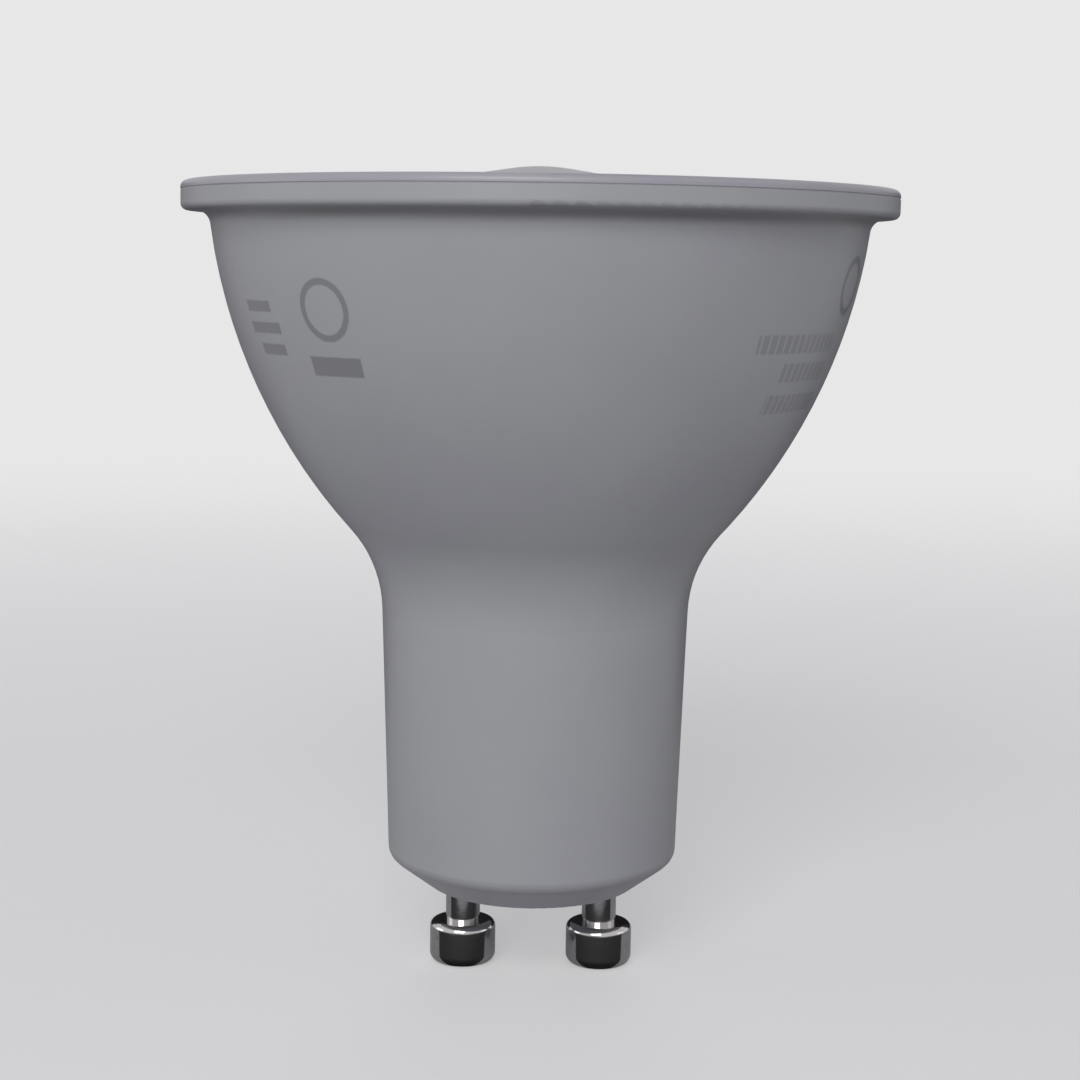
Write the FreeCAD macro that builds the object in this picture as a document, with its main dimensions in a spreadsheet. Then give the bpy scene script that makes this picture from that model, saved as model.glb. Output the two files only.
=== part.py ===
import FreeCAD, Part
import math
import os
import Sketcher

# GU10 LED spotlight, in millimetres and degrees.
# Z runs up the lamp's axis from the end face of the base, where the pins leave, to the cover.
# The two pins stand on X. The driver board stands behind the axis and faces the front, along Y.

# Driving sizes
SIZES = {
    # Housing, outside
    "rim_radius": 25.0,
    "body_height": 49.4,
    "rim_band": 1.4,
    "mouth_radius": 23.1,
    "bowl_arc_radius": 39.4,
    "neck_blend_radius": 9.1,
    "neck_height": 20.1,
    "neck_draft": 1.75,
    "foot_radius": 10.45,
    "foot_height": 2.15,
    "base_face_radius": 7.6,
    "foot_edge_radius": 0.9,
    "base_edge_radius": 0.3,
    "rim_edge_radius": 0.45,
    "rim_root_radius": 1.0,
    "seam_edge": 0.06,
    # Housing, inside
    "wall_thickness": 1.2,
    "floor_thickness": 2.5,
    "seat_bore_radius": 21.7,
    "rib_count": 6,
    "rib_thickness": 1.2,
    "rib_inner_radius": 11.6,
    "boss_radius": 2.4,
    "boss_bore_depth": 7.0,
    "rail_thickness": 0.9,
    "rail_grip": 0.7,
    "rail_top_height": 20.0,
    # Cover
    "lip_thickness": 0.6,
    "cover_thickness": 1.2,
    "skirt_depth": 3.2,
    "skirt_thickness": 1.0,
    "skirt_gap": 0.1,
    "bead_drop": 1.2,
    "bead_height": 0.6,
    "bead_depth": 0.35,
    "bead_gap": 0.1,
    "dome_height": 1.45,
    "dome_tip_radius": 14.0,
    "dome_flank_radius": 92.0,
    # Contact pins
    "pin_spacing": 10.0,
    "pin_length": 6.3,
    "pin_head_radius": 2.4,
    "pin_head_length": 3.1,
    "pin_stem_radius": 1.25,
    "pin_tip_radius": 0.7,
    "pin_shoulder_radius": 0.5,
    "pin_hole_gap": 0.02,
    "rivet_radius": 1.9,
    "rivet_thickness": 0.6,
    "pin_bore_radius": 0.45,
    "pin_bore_depth": 3.0,
    # Heat sink, thermal pad and LED board
    "sink_gap": 0.1,
    "sink_sheet": 1.0,
    "sink_drop": 11.9,
    "sink_floor_thickness": 1.2,
    "sink_corner": 1.6,
    "sink_corner_inside": 0.8,
    "pad_radius": 16.5,
    "pad_thickness": 0.3,
    "led_board_radius": 17.0,
    "led_board_thickness": 1.2,
    "led_count": 8,
    "led_circle_radius": 9.5,
    "led_length": 3.5,
    "led_width": 2.8,
    "led_height": 0.8,
    "led_window_radius": 1.15,
    "led_window_depth": 0.25,
    # Screws that hold the LED board and the heat sink on the bosses
    "screw_place_radius": 14.0,
    "screw_shank_radius": 1.25,
    "screw_head_radius": 2.3,
    "screw_head_height": 1.5,
    "screw_grip": 6.0,
    "screw_tip_height": 0.8,
    "screw_tip_radius": 0.5,
    "screw_cross_width": 0.6,
    "screw_cross_reach": 1.2,
    "screw_cross_depth": 0.8,
    "screw_hole_gap": 0.15,
    # Way through the heat sink
    "bush_radius": 2.6,
    "bush_gap": 0.05,
    "bush_flange_radius": 3.6,
    "bush_flange_thickness": 0.6,
    "output_spacing": 2.54,
    "output_pin_width": 0.64,
    "output_pin_gap": 0.06,
    "output_hole_radius": 0.6,
    "output_pin_overlap": 3.0,
    "output_pin_stand": 1.0,
    # Driver board
    "board_half_width": 8.0,
    "board_thickness": 1.2,
    "board_front": 2.0,
    "board_foot_height": 4.0,
    "board_top_gap": 2.0,
    "board_corner": 1.5,
    "board_gap": 0.1,
    # Driver parts in front of the board
    "lead_radius": 0.3,
    "lead_bend": 0.7,
    "fuse_radius": 1.5,
    "fuse_length": 7.5,
    "fuse_edge": 0.5,
    "fuse_stand": 2.4,
    "fuse_lead_rise": 1.2,
    "pin_lead_rise": 1.6,
    "choke_radius": 3.8,
    "choke_length": 8.0,
    "choke_hub_radius": 1.8,
    "choke_flange": 1.2,
    "choke_wire_depth": 0.5,
    "choke_offset": 1.8,
    "film_width": 5.0,
    "film_height": 6.0,
    "film_depth": 3.5,
    "film_edge": 0.4,
    "film_can_gap": 1.0,
    "can_radius": 4.0,
    "can_length": 11.0,
    "can_board_gap": 0.4,
    "can_offset": 3.6,
    "can_crimp_height": 1.8,
    "can_crimp_depth": 0.4,
    "can_edge": 0.5,
    "can_lead_spacing": 3.5,
    "can_lead_drop": 1.0,
    # Driver parts behind the board
    "chip_length": 4.9,
    "chip_width": 3.9,
    "chip_body_depth": 1.4,
    "chip_lead_pitch": 1.27,
    "chip_lead_count": 4,
    "bridge_length": 4.7,
    "bridge_width": 3.9,
    "bridge_body_depth": 1.5,
    "bridge_lead_pitch": 2.54,
    "bridge_lead_count": 2,
    "chip_stand": 0.1,
    "chip_lead_width": 0.4,
    "chip_lead_thickness": 0.25,
    "chip_lead_reach": 1.0,
    "chip_lead_root": 0.3,
    "diode_length": 4.3,
    "diode_width": 2.6,
    "diode_depth": 2.1,
    "small_part_length": 3.2,
    "small_part_width": 1.6,
    "resistor_depth": 0.6,
    "ceramic_depth": 1.2,
}

# How near an edge lies to the height and radius that it is looked up by
TOLERANCE = 1e-4

doc = FreeCAD.newDocument("gu10_spotlight")
sheet = doc.addObject("Spreadsheet::Sheet", "Sizes")
for row, (name, value) in enumerate(SIZES.items(), start=1):
    sheet.set(f"A{row}", name)
    sheet.set(f"B{row}", str(value))
    sheet.setAlias(f"B{row}", name)
doc.recompute()


class Size:
    """A length or an angle: its number, and the formula on the sheet that gives the same number."""

    def __init__(self, value, text=None):
        self.value = value
        self.text = repr(value) if text is None else text

    def __add__(self, other):
        other = as_size(other)
        return Size(self.value + other.value, f"({self.text} + {other.text})")

    def __sub__(self, other):
        other = as_size(other)
        return Size(self.value - other.value, f"({self.text} - {other.text})")

    def __mul__(self, other):
        other = as_size(other)
        return Size(self.value * other.value, f"({self.text} * {other.text})")

    def __truediv__(self, other):
        other = as_size(other)
        return Size(self.value / other.value, f"({self.text} / {other.text})")

    def __neg__(self):
        return Size(-self.value, f"(0 - {self.text})")


def as_size(number):
    return number if isinstance(number, Size) else Size(number)


def slope(angle):
    """The rise over run of an angle."""
    return Size(math.tan(math.radians(angle.value)), f"tan({angle.text} * 1deg)")


def on_circle(radius, angle):
    """The X and Y of the point at a plain number of degrees round a circle."""
    x = Size(radius.value * math.cos(math.radians(angle)), f"({radius.text} * cos({angle}deg))")
    y = Size(radius.value * math.sin(math.radians(angle)), f"({radius.text} * sin({angle}deg))")
    return x, y


class SheetSizes:
    """Every driving size as an attribute with the name of its cell."""

    def __init__(self):
        for name, value in SIZES.items():
            setattr(self, name, Size(value, f"Sizes.{name}"))


s = SheetSizes()
ZERO = Size(0.0)
# How far a cutting solid runs past the face that it cuts through
overshoot = Size(1.0)

# Heights and places that several pieces share
mouth_height = s.body_height - s.rim_band
cover_top = s.body_height + s.lip_thickness
cover_underside = cover_top - s.cover_thickness
skirt_foot = s.body_height - s.skirt_depth
bead_place = s.body_height - s.bead_drop
sink_floor_height = s.body_height - s.sink_drop
sink_floor_top = sink_floor_height + s.sink_floor_thickness
pad_top = sink_floor_top + s.pad_thickness
led_board_top = pad_top + s.led_board_thickness
screw_hole_radius = s.screw_shank_radius + s.screw_hole_gap
pin_place = s.pin_spacing / 2
rivet_top = s.floor_thickness + s.rivet_thickness
pin_bore_foot = rivet_top - s.pin_bore_depth
board_back = s.board_front + s.board_thickness
board_top_height = sink_floor_height - s.board_top_gap
output_foot_height = board_top_height - s.output_pin_overlap
output_x = s.output_spacing / 2
output_y = board_back + s.output_pin_width / 2
rail_start = s.board_half_width - s.rail_grip


class Edge:
    """One line or arc of a sketch, with its ends in drawing order.

    The sketcher numbers the points of a line or an arc: 1 and 2 are its ends, and 3 its centre."""

    def __init__(self, index, first, last):
        self.index = index
        self.first = (index, first)
        self.last = (index, last)
        self.centre = (index, 3)


class Drawing:
    """A sketch on one of its body's origin planes, its points and radii tied to the sheet."""

    def __init__(self, body, name, plane="XZ_Plane", height=None):
        self.sketch = body.newObject("Sketcher::SketchObject", name)
        support = next(item for item in body.Origin.OriginFeatures if item.Role == plane)
        self.sketch.AttachmentSupport = (support, [""])
        self.sketch.MapMode = "FlatFace"
        if height is not None:
            self.sketch.setExpression(".AttachmentOffset.Base.z", height.text)

    def line(self, start, end, guide=False):
        ends = [FreeCAD.Vector(point[0], point[1], 0) for point in (start, end)]
        return Edge(self.sketch.addGeometry(Part.LineSegment(*ends), guide), 1, 2)

    def arc(self, centre, start, end, guide=False):
        """The shorter arc about a centre from start to end."""
        first = math.atan2(start[1] - centre[1], start[0] - centre[0])
        last = math.atan2(end[1] - centre[1], end[0] - centre[0])
        anticlockwise = (last - first) % (2 * math.pi) < math.pi
        low, high = (first, last) if anticlockwise else (last, first)
        middle = FreeCAD.Vector(centre[0], centre[1], 0)
        circle = Part.Circle(middle, FreeCAD.Vector(0, 0, 1), math.dist(centre, start))
        index = self.sketch.addGeometry(Part.ArcOfCircle(circle, low, high), guide)
        return Edge(index, 1, 2) if anticlockwise else Edge(index, 2, 1)

    def mark(self, x, y):
        """A guide point in the drawing, such as the sharp corner behind a rounded one."""
        index = self.sketch.addGeometry(Part.Point(FreeCAD.Vector(x.value, y.value, 0)), True)
        self.place((index, 1), x, y)
        return index, 1

    def constrain(self, kind, *references):
        self.sketch.addConstraint(Sketcher.Constraint(kind, *references))

    def measure(self, kind, size, *references):
        index = self.sketch.addConstraint(Sketcher.Constraint(kind, *references, size.value))
        self.sketch.setExpression(f"Constraints[{index}]", size.text)

    def across(self, point, x):
        """Sets the point's distance to the right of the sketch's upright axis."""
        if x.value < 0:
            self.measure("DistanceX", -x, *point, -1, 1)
        else:
            self.measure("DistanceX", x, -1, 1, *point)

    def up(self, point, y):
        """Sets the point's height above the sketch's level axis."""
        if y.value < 0:
            self.measure("DistanceY", -y, *point, -1, 1)
        else:
            self.measure("DistanceY", y, -1, 1, *point)

    def place(self, point, x, y):
        self.across(point, x)
        self.up(point, y)

    def meet(self, point, other):
        self.constrain("Coincident", *point, *other)

    def chain(self, *corners, after=None):
        """Straight lines from corner to corner, the first from another edge's end if that is given."""
        edges = []
        for start, end in zip(corners, corners[1:]):
            edge = self.line((start[0].value, start[1].value), (end[0].value, end[1].value))
            if after is None:
                self.place(edge.first, *start)
            else:
                self.meet(after, edge.first)
            if edges:
                self.meet(edges[-1].last, edge.first)
            after = None
            edges.append(edge)
        return edges

    def loop(self, *corners):
        """A closed outline of straight lines."""
        edges = self.chain(*corners, corners[0])
        self.meet(edges[-1].last, edges[0].first)
        return edges

    def rectangle(self, left, right, bottom, top):
        self.loop((left, bottom), (right, bottom), (right, top), (left, top))

    def circle(self, x, y, radius):
        centre = FreeCAD.Vector(x.value, y.value, 0)
        round_line = Part.Circle(centre, FreeCAD.Vector(0, 0, 1), radius.value)
        index = self.sketch.addGeometry(round_line, False)
        self.place((index, 3), x, y)
        self.measure("Radius", radius, index)

    def quarter(self, x, y, reach, side):
        """A quarter circle about (x, y) that ends at a corner on its right.

        It starts a reach above its centre, or below it where the reach is negative."""
        top = (x.value, y.value + reach.value)
        arc = self.arc((x.value, y.value), top, (x.value + abs(reach.value), y.value))
        self.place(arc.centre, x, y)
        self.constrain("Vertical", *arc.first, *arc.centre)
        self.meet(arc.last, side)
        return arc.first

    def bell(self, tip_height, plate_height, tip_radius, flank_radius):
        """The half section of a low bell: a bulging tip on the axis and a hollow flank.

        The flank's arc is tangent to the tip's and ends level with the plate."""
        tip_y = tip_height.value - tip_radius.value
        flank_y = plate_height.value + flank_radius.value
        span = tip_radius.value + flank_radius.value
        flank_x = math.sqrt(span ** 2 - (flank_y - tip_y) ** 2)
        joint = between((0, tip_y), (flank_x, flank_y), tip_radius.value / span)
        tip = self.arc((0, tip_y), (0, tip_height.value), joint)
        flank = self.arc((flank_x, flank_y), joint, (flank_x, plate_height.value))
        self.place(tip.centre, ZERO, tip_height - tip_radius)
        self.across(tip.first, ZERO)
        self.measure("Radius", tip_radius, tip.index)
        self.measure("Radius", flank_radius, flank.index)
        self.constrain("Tangent", *tip.last, *flank.first)
        return tip, flank

    def bend(self, start, corner, end, radius):
        """A path that runs upright from start, turns near the corner and runs level to the end."""
        rise = math.copysign(radius.value, start[1].value - corner[1].value)
        reach = math.copysign(radius.value, end[0].value - corner[0].value)
        turn_start = (corner[0].value, corner[1].value + rise)
        turn_end = (corner[0].value + reach, corner[1].value)
        upright = self.line((start[0].value, start[1].value), turn_start)
        elbow = self.arc((turn_end[0], turn_start[1]), turn_start, turn_end)
        level = self.line(turn_end, (end[0].value, end[1].value))
        self.place(upright.first, *start)
        self.constrain("Vertical", upright.index)
        self.constrain("Horizontal", level.index)
        self.constrain("Tangent", *upright.last, *elbow.first)
        self.constrain("Tangent", *elbow.last, *level.first)
        self.measure("Radius", radius, elbow.index)
        self.place(level.last, *end)


def new_body(label):
    body = doc.addObject("PartDesign::Body", label)
    body.Label = label
    return body


def revolve(body, drawing):
    feature = body.newObject("PartDesign::Revolution", "Revolution")
    feature.Profile = drawing.sketch
    feature.ReferenceAxis = (drawing.sketch, ["V_Axis"])
    feature.Angle = 360
    doc.recompute()
    return feature


def pad(body, drawing, length, reversed_side=False):
    feature = body.newObject("PartDesign::Pad", "Pad")
    feature.Profile = drawing.sketch
    feature.setExpression("Length", length.text)
    feature.Reversed = reversed_side
    doc.recompute()
    return feature


def pocket(body, drawing, length):
    """Cuts into the body, and stops the build if nothing was cut."""
    before = body.Shape.Volume
    feature = body.newObject("PartDesign::Pocket", "Pocket")
    feature.Profile = drawing.sketch
    feature.setExpression("Length", length.text)
    doc.recompute()
    if body.Shape.Volume >= before:
        raise RuntimeError(f"{body.Label}: the pocket {feature.Name} cut nothing")
    return feature


def pipe(body, path, profile):
    feature = body.newObject("PartDesign::AdditivePipe", "Pipe")
    feature.Profile = profile.sketch
    feature.Spine = (path.sketch, ["Edge1", "Edge2", "Edge3"])
    doc.recompute()
    return feature


def round_circles(body, feature, radius, *circles):
    """Rounds circular edges about the axis, each found by its height and, if given, its radius."""
    names = []
    for index, edge in enumerate(feature.Shape.Edges, start=1):
        if edge.Degenerated or not isinstance(edge.Curve, Part.Circle):
            continue
        centre = edge.Curve.Center
        for height, wanted in circles:
            level = math.hypot(centre.x, centre.y) + abs(centre.z - height.value) < TOLERANCE
            fits = wanted is None or abs(edge.Curve.Radius - wanted.value) < TOLERANCE
            if level and fits:
                names.append(f"Edge{index}")
    if len(names) != len(circles):
        raise RuntimeError(f"{body.Label}: {len(names)} of {len(circles)} edges found to round")
    fillet = body.newObject("PartDesign::Fillet", "Fillet")
    fillet.Base = (feature, names)
    fillet.setExpression("Radius", radius.text)
    doc.recompute()
    return fillet


def move(item, x=ZERO, y=ZERO, z=ZERO):
    """Ties the item's place to the sheet, and leaves its turn as it is."""
    for axis, size in (("x", x), ("y", y), ("z", z)):
        item.setExpression(f".Placement.Base.{axis}", size.text)
    return item


def turn(item, axis, angle):
    item.Placement = FreeCAD.Placement(FreeCAD.Vector(), FreeCAD.Rotation(FreeCAD.Vector(*axis), angle))
    return item


def block(label, x, y, z, length, width, height):
    """A box from x, y, z, its length along X, its width along Y and its height along Z."""
    item = doc.addObject("Part::Box", label)
    item.Label = label
    for name, size in (("Length", length), ("Width", width), ("Height", height)):
        item.setExpression(name, size.text)
    return move(item, x, y, z)


def rod(label, x, y, z, radius, height):
    """An upright cylinder that stands on x, y, z."""
    item = doc.addObject("Part::Cylinder", label)
    item.Label = label
    item.setExpression("Radius", radius.text)
    item.setExpression("Height", height.text)
    return move(item, x, y, z)


def joined(label, pieces):
    item = doc.addObject("Part::MultiFuse", label)
    item.Label = label
    item.Shapes = pieces
    return item


def without(label, base, tool):
    item = doc.addObject("Part::Cut", label)
    item.Label = label
    item.Base = base
    item.Tool = tool
    return item


# Housing
def neck_radius(height):
    """The outside radius of the neck at a height, from its foot and its draft."""
    return s.foot_radius + (height - s.foot_height) * slope(s.neck_draft)


def bowl_curve(drawing, guide):
    """Draws the outside curve of the housing: straight neck, hollow blend and bulging bowl.

    The neck leaves the foot with its draft. The blend arc is tangent to it at the neck's height,
    and the bowl arc is tangent to the blend and meets the mouth. The centres worked out here
    only start the sketch near its solution. A guide runs from the foot's corner to the mouth's;
    otherwise both ends are left for the rounded corners.
    """
    draft = math.radians(s.neck_draft.value)
    neck_end = (neck_radius(s.neck_height).value, s.neck_height.value)
    blend = s.neck_blend_radius.value
    bulge = s.bowl_arc_radius.value
    blend_centre = (neck_end[0] + blend * math.cos(draft), neck_end[1] - blend * math.sin(draft))
    # The bowl arc's centre is one radius from the mouth, and both radii from the blend's centre
    mouth = (s.mouth_radius.value, mouth_height.value)
    span = math.dist(mouth, blend_centre)
    along = (bulge ** 2 - (bulge + blend) ** 2 + span ** 2) / (2 * span)
    aside = math.sqrt(bulge ** 2 - along ** 2)
    step_x, step_y = [(there - here) / span for here, there in zip(mouth, blend_centre)]
    bowl_centre = (mouth[0] + along * step_x + aside * step_y, mouth[1] + along * step_y - aside * step_x)
    joint = between(bowl_centre, blend_centre, bulge / (bulge + blend))

    neck_line = drawing.line((s.foot_radius.value, s.foot_height.value), neck_end, guide)
    blend_arc = drawing.arc(blend_centre, neck_end, joint, guide)
    bowl_arc = drawing.arc(bowl_centre, joint, mouth, guide)
    foot_corner = drawing.mark(s.foot_radius, s.foot_height)
    mouth_corner = drawing.mark(s.mouth_radius, mouth_height)
    drawing.place(neck_line.last, neck_radius(s.neck_height), s.neck_height)
    drawing.constrain("Tangent", *neck_line.last, *blend_arc.first)
    drawing.constrain("Tangent", *blend_arc.last, *bowl_arc.first)
    drawing.measure("Radius", s.neck_blend_radius, blend_arc.index)
    drawing.measure("Radius", s.bowl_arc_radius, bowl_arc.index)
    if guide:
        drawing.meet(neck_line.first, foot_corner)
        drawing.meet(bowl_arc.last, mouth_corner)
    else:
        drawing.constrain("PointOnObject", *foot_corner, neck_line.index)
        drawing.constrain("PointOnObject", *mouth_corner, bowl_arc.index)
    return neck_line, blend_arc, bowl_arc


def between(start, end, share):
    """The point that lies a share of the way from start to end."""
    return [here + share * (there - here) for here, there in zip(start, end)]


def centre_of(drawing, arc):
    centre = drawing.sketch.Geometry[arc.index].Center
    return centre.x, centre.y


def round_foot(drawing, bevel_foot, neck_line):
    """The base's bevel and the arc that rounds its corner into the neck."""
    draft = math.radians(s.neck_draft.value)
    lean = math.atan2(s.foot_radius.value - s.base_face_radius.value, s.foot_height.value)
    radius = s.foot_edge_radius.value
    reach = radius * math.tan((lean - draft) / 2)
    start = (s.foot_radius.value - reach * math.sin(lean), s.foot_height.value - reach * math.cos(lean))
    end = (s.foot_radius.value + reach * math.sin(draft), s.foot_height.value + reach * math.cos(draft))
    centre = (start[0] - radius * math.cos(lean), start[1] + radius * math.sin(lean))
    bevel = drawing.line((s.base_face_radius.value, 0), start)
    corner = drawing.arc(centre, start, end)
    drawing.meet(bevel_foot, bevel.first)
    drawing.place(bevel.first, s.base_face_radius, ZERO)
    drawing.constrain("PointOnObject", *drawing.mark(s.foot_radius, s.foot_height), bevel.index)
    drawing.constrain("Tangent", *bevel.last, *corner.first)
    drawing.constrain("Tangent", *corner.last, *neck_line.first)
    drawing.measure("Radius", s.foot_edge_radius, corner.index)


def round_rim_root(drawing, bowl_arc, rim_foot):
    """The arc in the corner under the rim, and the rim's level underside out to its edge."""
    centre_x, centre_y = centre_of(drawing, bowl_arc)
    bulge = s.bowl_arc_radius.value
    radius = s.rim_root_radius.value
    root_y = mouth_height.value - radius
    root_x = centre_x + math.sqrt((bulge + radius) ** 2 - (root_y - centre_y) ** 2)
    start = between((centre_x, centre_y), (root_x, root_y), bulge / (bulge + radius))
    root = drawing.arc((root_x, root_y), start, (root_x, mouth_height.value))
    edge_x = s.rim_radius.value - s.rim_edge_radius.value
    underside = drawing.line((root_x, mouth_height.value), (edge_x, mouth_height.value))
    drawing.constrain("Tangent", *bowl_arc.last, *root.first)
    drawing.constrain("Tangent", *root.last, *underside.first)
    drawing.constrain("Horizontal", underside.index)
    drawing.meet(underside.last, rim_foot)
    drawing.measure("Radius", s.rim_root_radius, root.index)


def make_shell():
    """The housing as a full solid: base with its bevel, neck, bowl and rim band."""
    body = new_body("shell")
    drawing = Drawing(body, "shell_profile")
    neck_line, _, bowl_arc = bowl_curve(drawing, guide=False)
    base = drawing.chain((ZERO, s.body_height), (ZERO, ZERO), (s.base_face_radius, ZERO))
    round_foot(drawing, base[-1].last, neck_line)
    edge_centre = (s.rim_radius - s.rim_edge_radius, mouth_height + s.rim_edge_radius)
    rim = drawing.chain(
        (s.rim_radius, edge_centre[1]),
        (s.rim_radius, s.body_height - s.seam_edge),
        (s.rim_radius - s.seam_edge, s.body_height),
        (ZERO, s.body_height),
    )
    rim_foot = drawing.quarter(*edge_centre, -s.rim_edge_radius, rim[0].first)
    round_rim_root(drawing, bowl_arc, rim_foot)
    drawing.meet(rim[-1].last, base[0].first)
    solid = revolve(body, drawing)
    round_circles(body, solid, s.base_edge_radius, (ZERO, None))
    return body


def make_core():
    """The hollow of the housing: parallel to its outside, with the cover's seat and snap groove."""
    body = new_body("core")
    drawing = Drawing(body, "core_profile")
    neck_line, blend_arc, bowl_arc = bowl_curve(drawing, guide=True)
    wall = s.wall_thickness.value
    draft = math.radians(s.neck_draft.value)
    blend_centre = centre_of(drawing, blend_arc)
    bowl_centre = centre_of(drawing, bowl_arc)
    floor_radius = neck_radius(s.floor_thickness).value - wall / math.cos(draft)
    hollow = s.neck_blend_radius.value + wall
    neck_end = (blend_centre[0] - hollow * math.cos(draft), blend_centre[1] + hollow * math.sin(draft))
    joint = between(blend_centre, bowl_centre, hollow / math.dist(blend_centre, bowl_centre))
    bulge = s.bowl_arc_radius.value - wall
    seat_x = bowl_centre[0] + math.sqrt(bulge ** 2 - (skirt_foot.value - bowl_centre[1]) ** 2)

    inner_neck = drawing.line((floor_radius, s.floor_thickness.value), neck_end)
    inner_blend = drawing.arc(blend_centre, neck_end, joint)
    inner_bowl = drawing.arc(bowl_centre, joint, (seat_x, skirt_foot.value))
    drawing.constrain("Parallel", inner_neck.index, neck_line.index)
    drawing.measure("Distance", s.wall_thickness, *inner_neck.first, neck_line.index)
    drawing.meet(inner_blend.centre, blend_arc.centre)
    drawing.meet(inner_bowl.centre, bowl_arc.centre)
    drawing.constrain("Tangent", *inner_neck.last, *inner_blend.first)
    drawing.constrain("Tangent", *inner_blend.last, *inner_bowl.first)
    drawing.up(inner_neck.first, s.floor_thickness)
    drawing.up(inner_bowl.last, skirt_foot)

    groove_radius = s.seat_bore_radius + s.bead_depth
    groove_foot = bead_place - s.bead_height / 2 - s.bead_gap
    groove_top = bead_place + s.bead_height / 2 + s.bead_gap
    top = s.body_height + overshoot
    seat = drawing.chain(
        (s.seat_bore_radius, skirt_foot),
        (s.seat_bore_radius, groove_foot),
        (groove_radius, groove_foot),
        (groove_radius, groove_top),
        (s.seat_bore_radius, groove_top),
        (s.seat_bore_radius, top),
        (ZERO, top),
        (ZERO, s.floor_thickness),
    )
    ledge = drawing.line((seat_x, skirt_foot.value), (s.seat_bore_radius.value, skirt_foot.value))
    floor = drawing.line((0, s.floor_thickness.value), (floor_radius, s.floor_thickness.value))
    drawing.meet(inner_bowl.last, ledge.first)
    drawing.meet(ledge.last, seat[0].first)
    drawing.meet(seat[-1].last, floor.first)
    drawing.meet(floor.last, inner_neck.first)
    drawing.place(floor.first, ZERO, s.floor_thickness)
    revolve(body, drawing)
    return body


def make_ribs():
    """Upright webs in the bowl, whose tops carry the heat sink."""
    ribs = []
    for place in range(int(s.rib_count.value)):
        size = (s.rim_radius, s.rib_thickness, sink_floor_height)
        rib = block(f"rib_{place + 1}", ZERO, ZERO, ZERO, *size)
        angle = 360 * place / s.rib_count.value
        turn(rib, (0, 0, 1), angle)
        start_x, start_y = on_circle(s.rib_inner_radius, angle)
        aside_x, aside_y = on_circle(s.rib_thickness / 2, angle - 90)
        ribs.append(move(rib, start_x + aside_x, start_y + aside_y))
    return ribs


def make_rails():
    """Pairs of rails beside the driver board, and the stops that it stands on."""
    length = s.rim_radius - rail_start
    front = s.board_front - s.board_gap - s.rail_thickness
    back = board_back + s.board_gap
    pieces = []
    size = (length, s.rail_thickness, s.rail_top_height)
    for side, x in (("right", rail_start), ("left", -s.rim_radius)):
        pieces.append(block(f"front_rail_{side}", x, front, ZERO, *size))
        pieces.append(block(f"back_rail_{side}", x, back, ZERO, *size))
        stop_depth = back + s.rail_thickness - front
        pieces.append(block(f"stop_{side}", x, front, ZERO, length, stop_depth, s.board_foot_height))
    # The rails belong to the neck and base only, inside the radius of the neck's foot
    reach = rod("rail_reach", ZERO, ZERO, ZERO, s.rib_inner_radius, s.rail_top_height)
    rails = doc.addObject("Part::Common", "rails")
    rails.Base = joined("rail_blocks", pieces)
    rails.Tool = reach
    return rails


def make_housing():
    """Shell less its hollow, with ribs, screw bosses and board rails left standing in the hollow."""
    standing = make_ribs()
    holes = []
    for side, x in (("right", s.screw_place_radius), ("left", -s.screw_place_radius)):
        standing.append(rod(f"boss_{side}", x, ZERO, ZERO, s.boss_radius, sink_floor_height))
        bore_foot = sink_floor_height - s.boss_bore_depth
        bore_height = s.boss_bore_depth + overshoot
        holes.append(rod(f"boss_bore_{side}", x, ZERO, bore_foot, s.screw_shank_radius, bore_height))
    for side, x in (("right", pin_place), ("left", -pin_place)):
        hole_radius = s.pin_stem_radius + s.pin_hole_gap
        hole_height = s.floor_thickness + overshoot * 2
        holes.append(rod(f"pin_hole_{side}", x, ZERO, -overshoot, hole_radius, hole_height))
    standing.append(make_rails())
    hollow = without("hollow", make_core(), joined("standing", standing))
    return without("housing", make_shell(), joined("cuts", [hollow] + holes))


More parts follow.
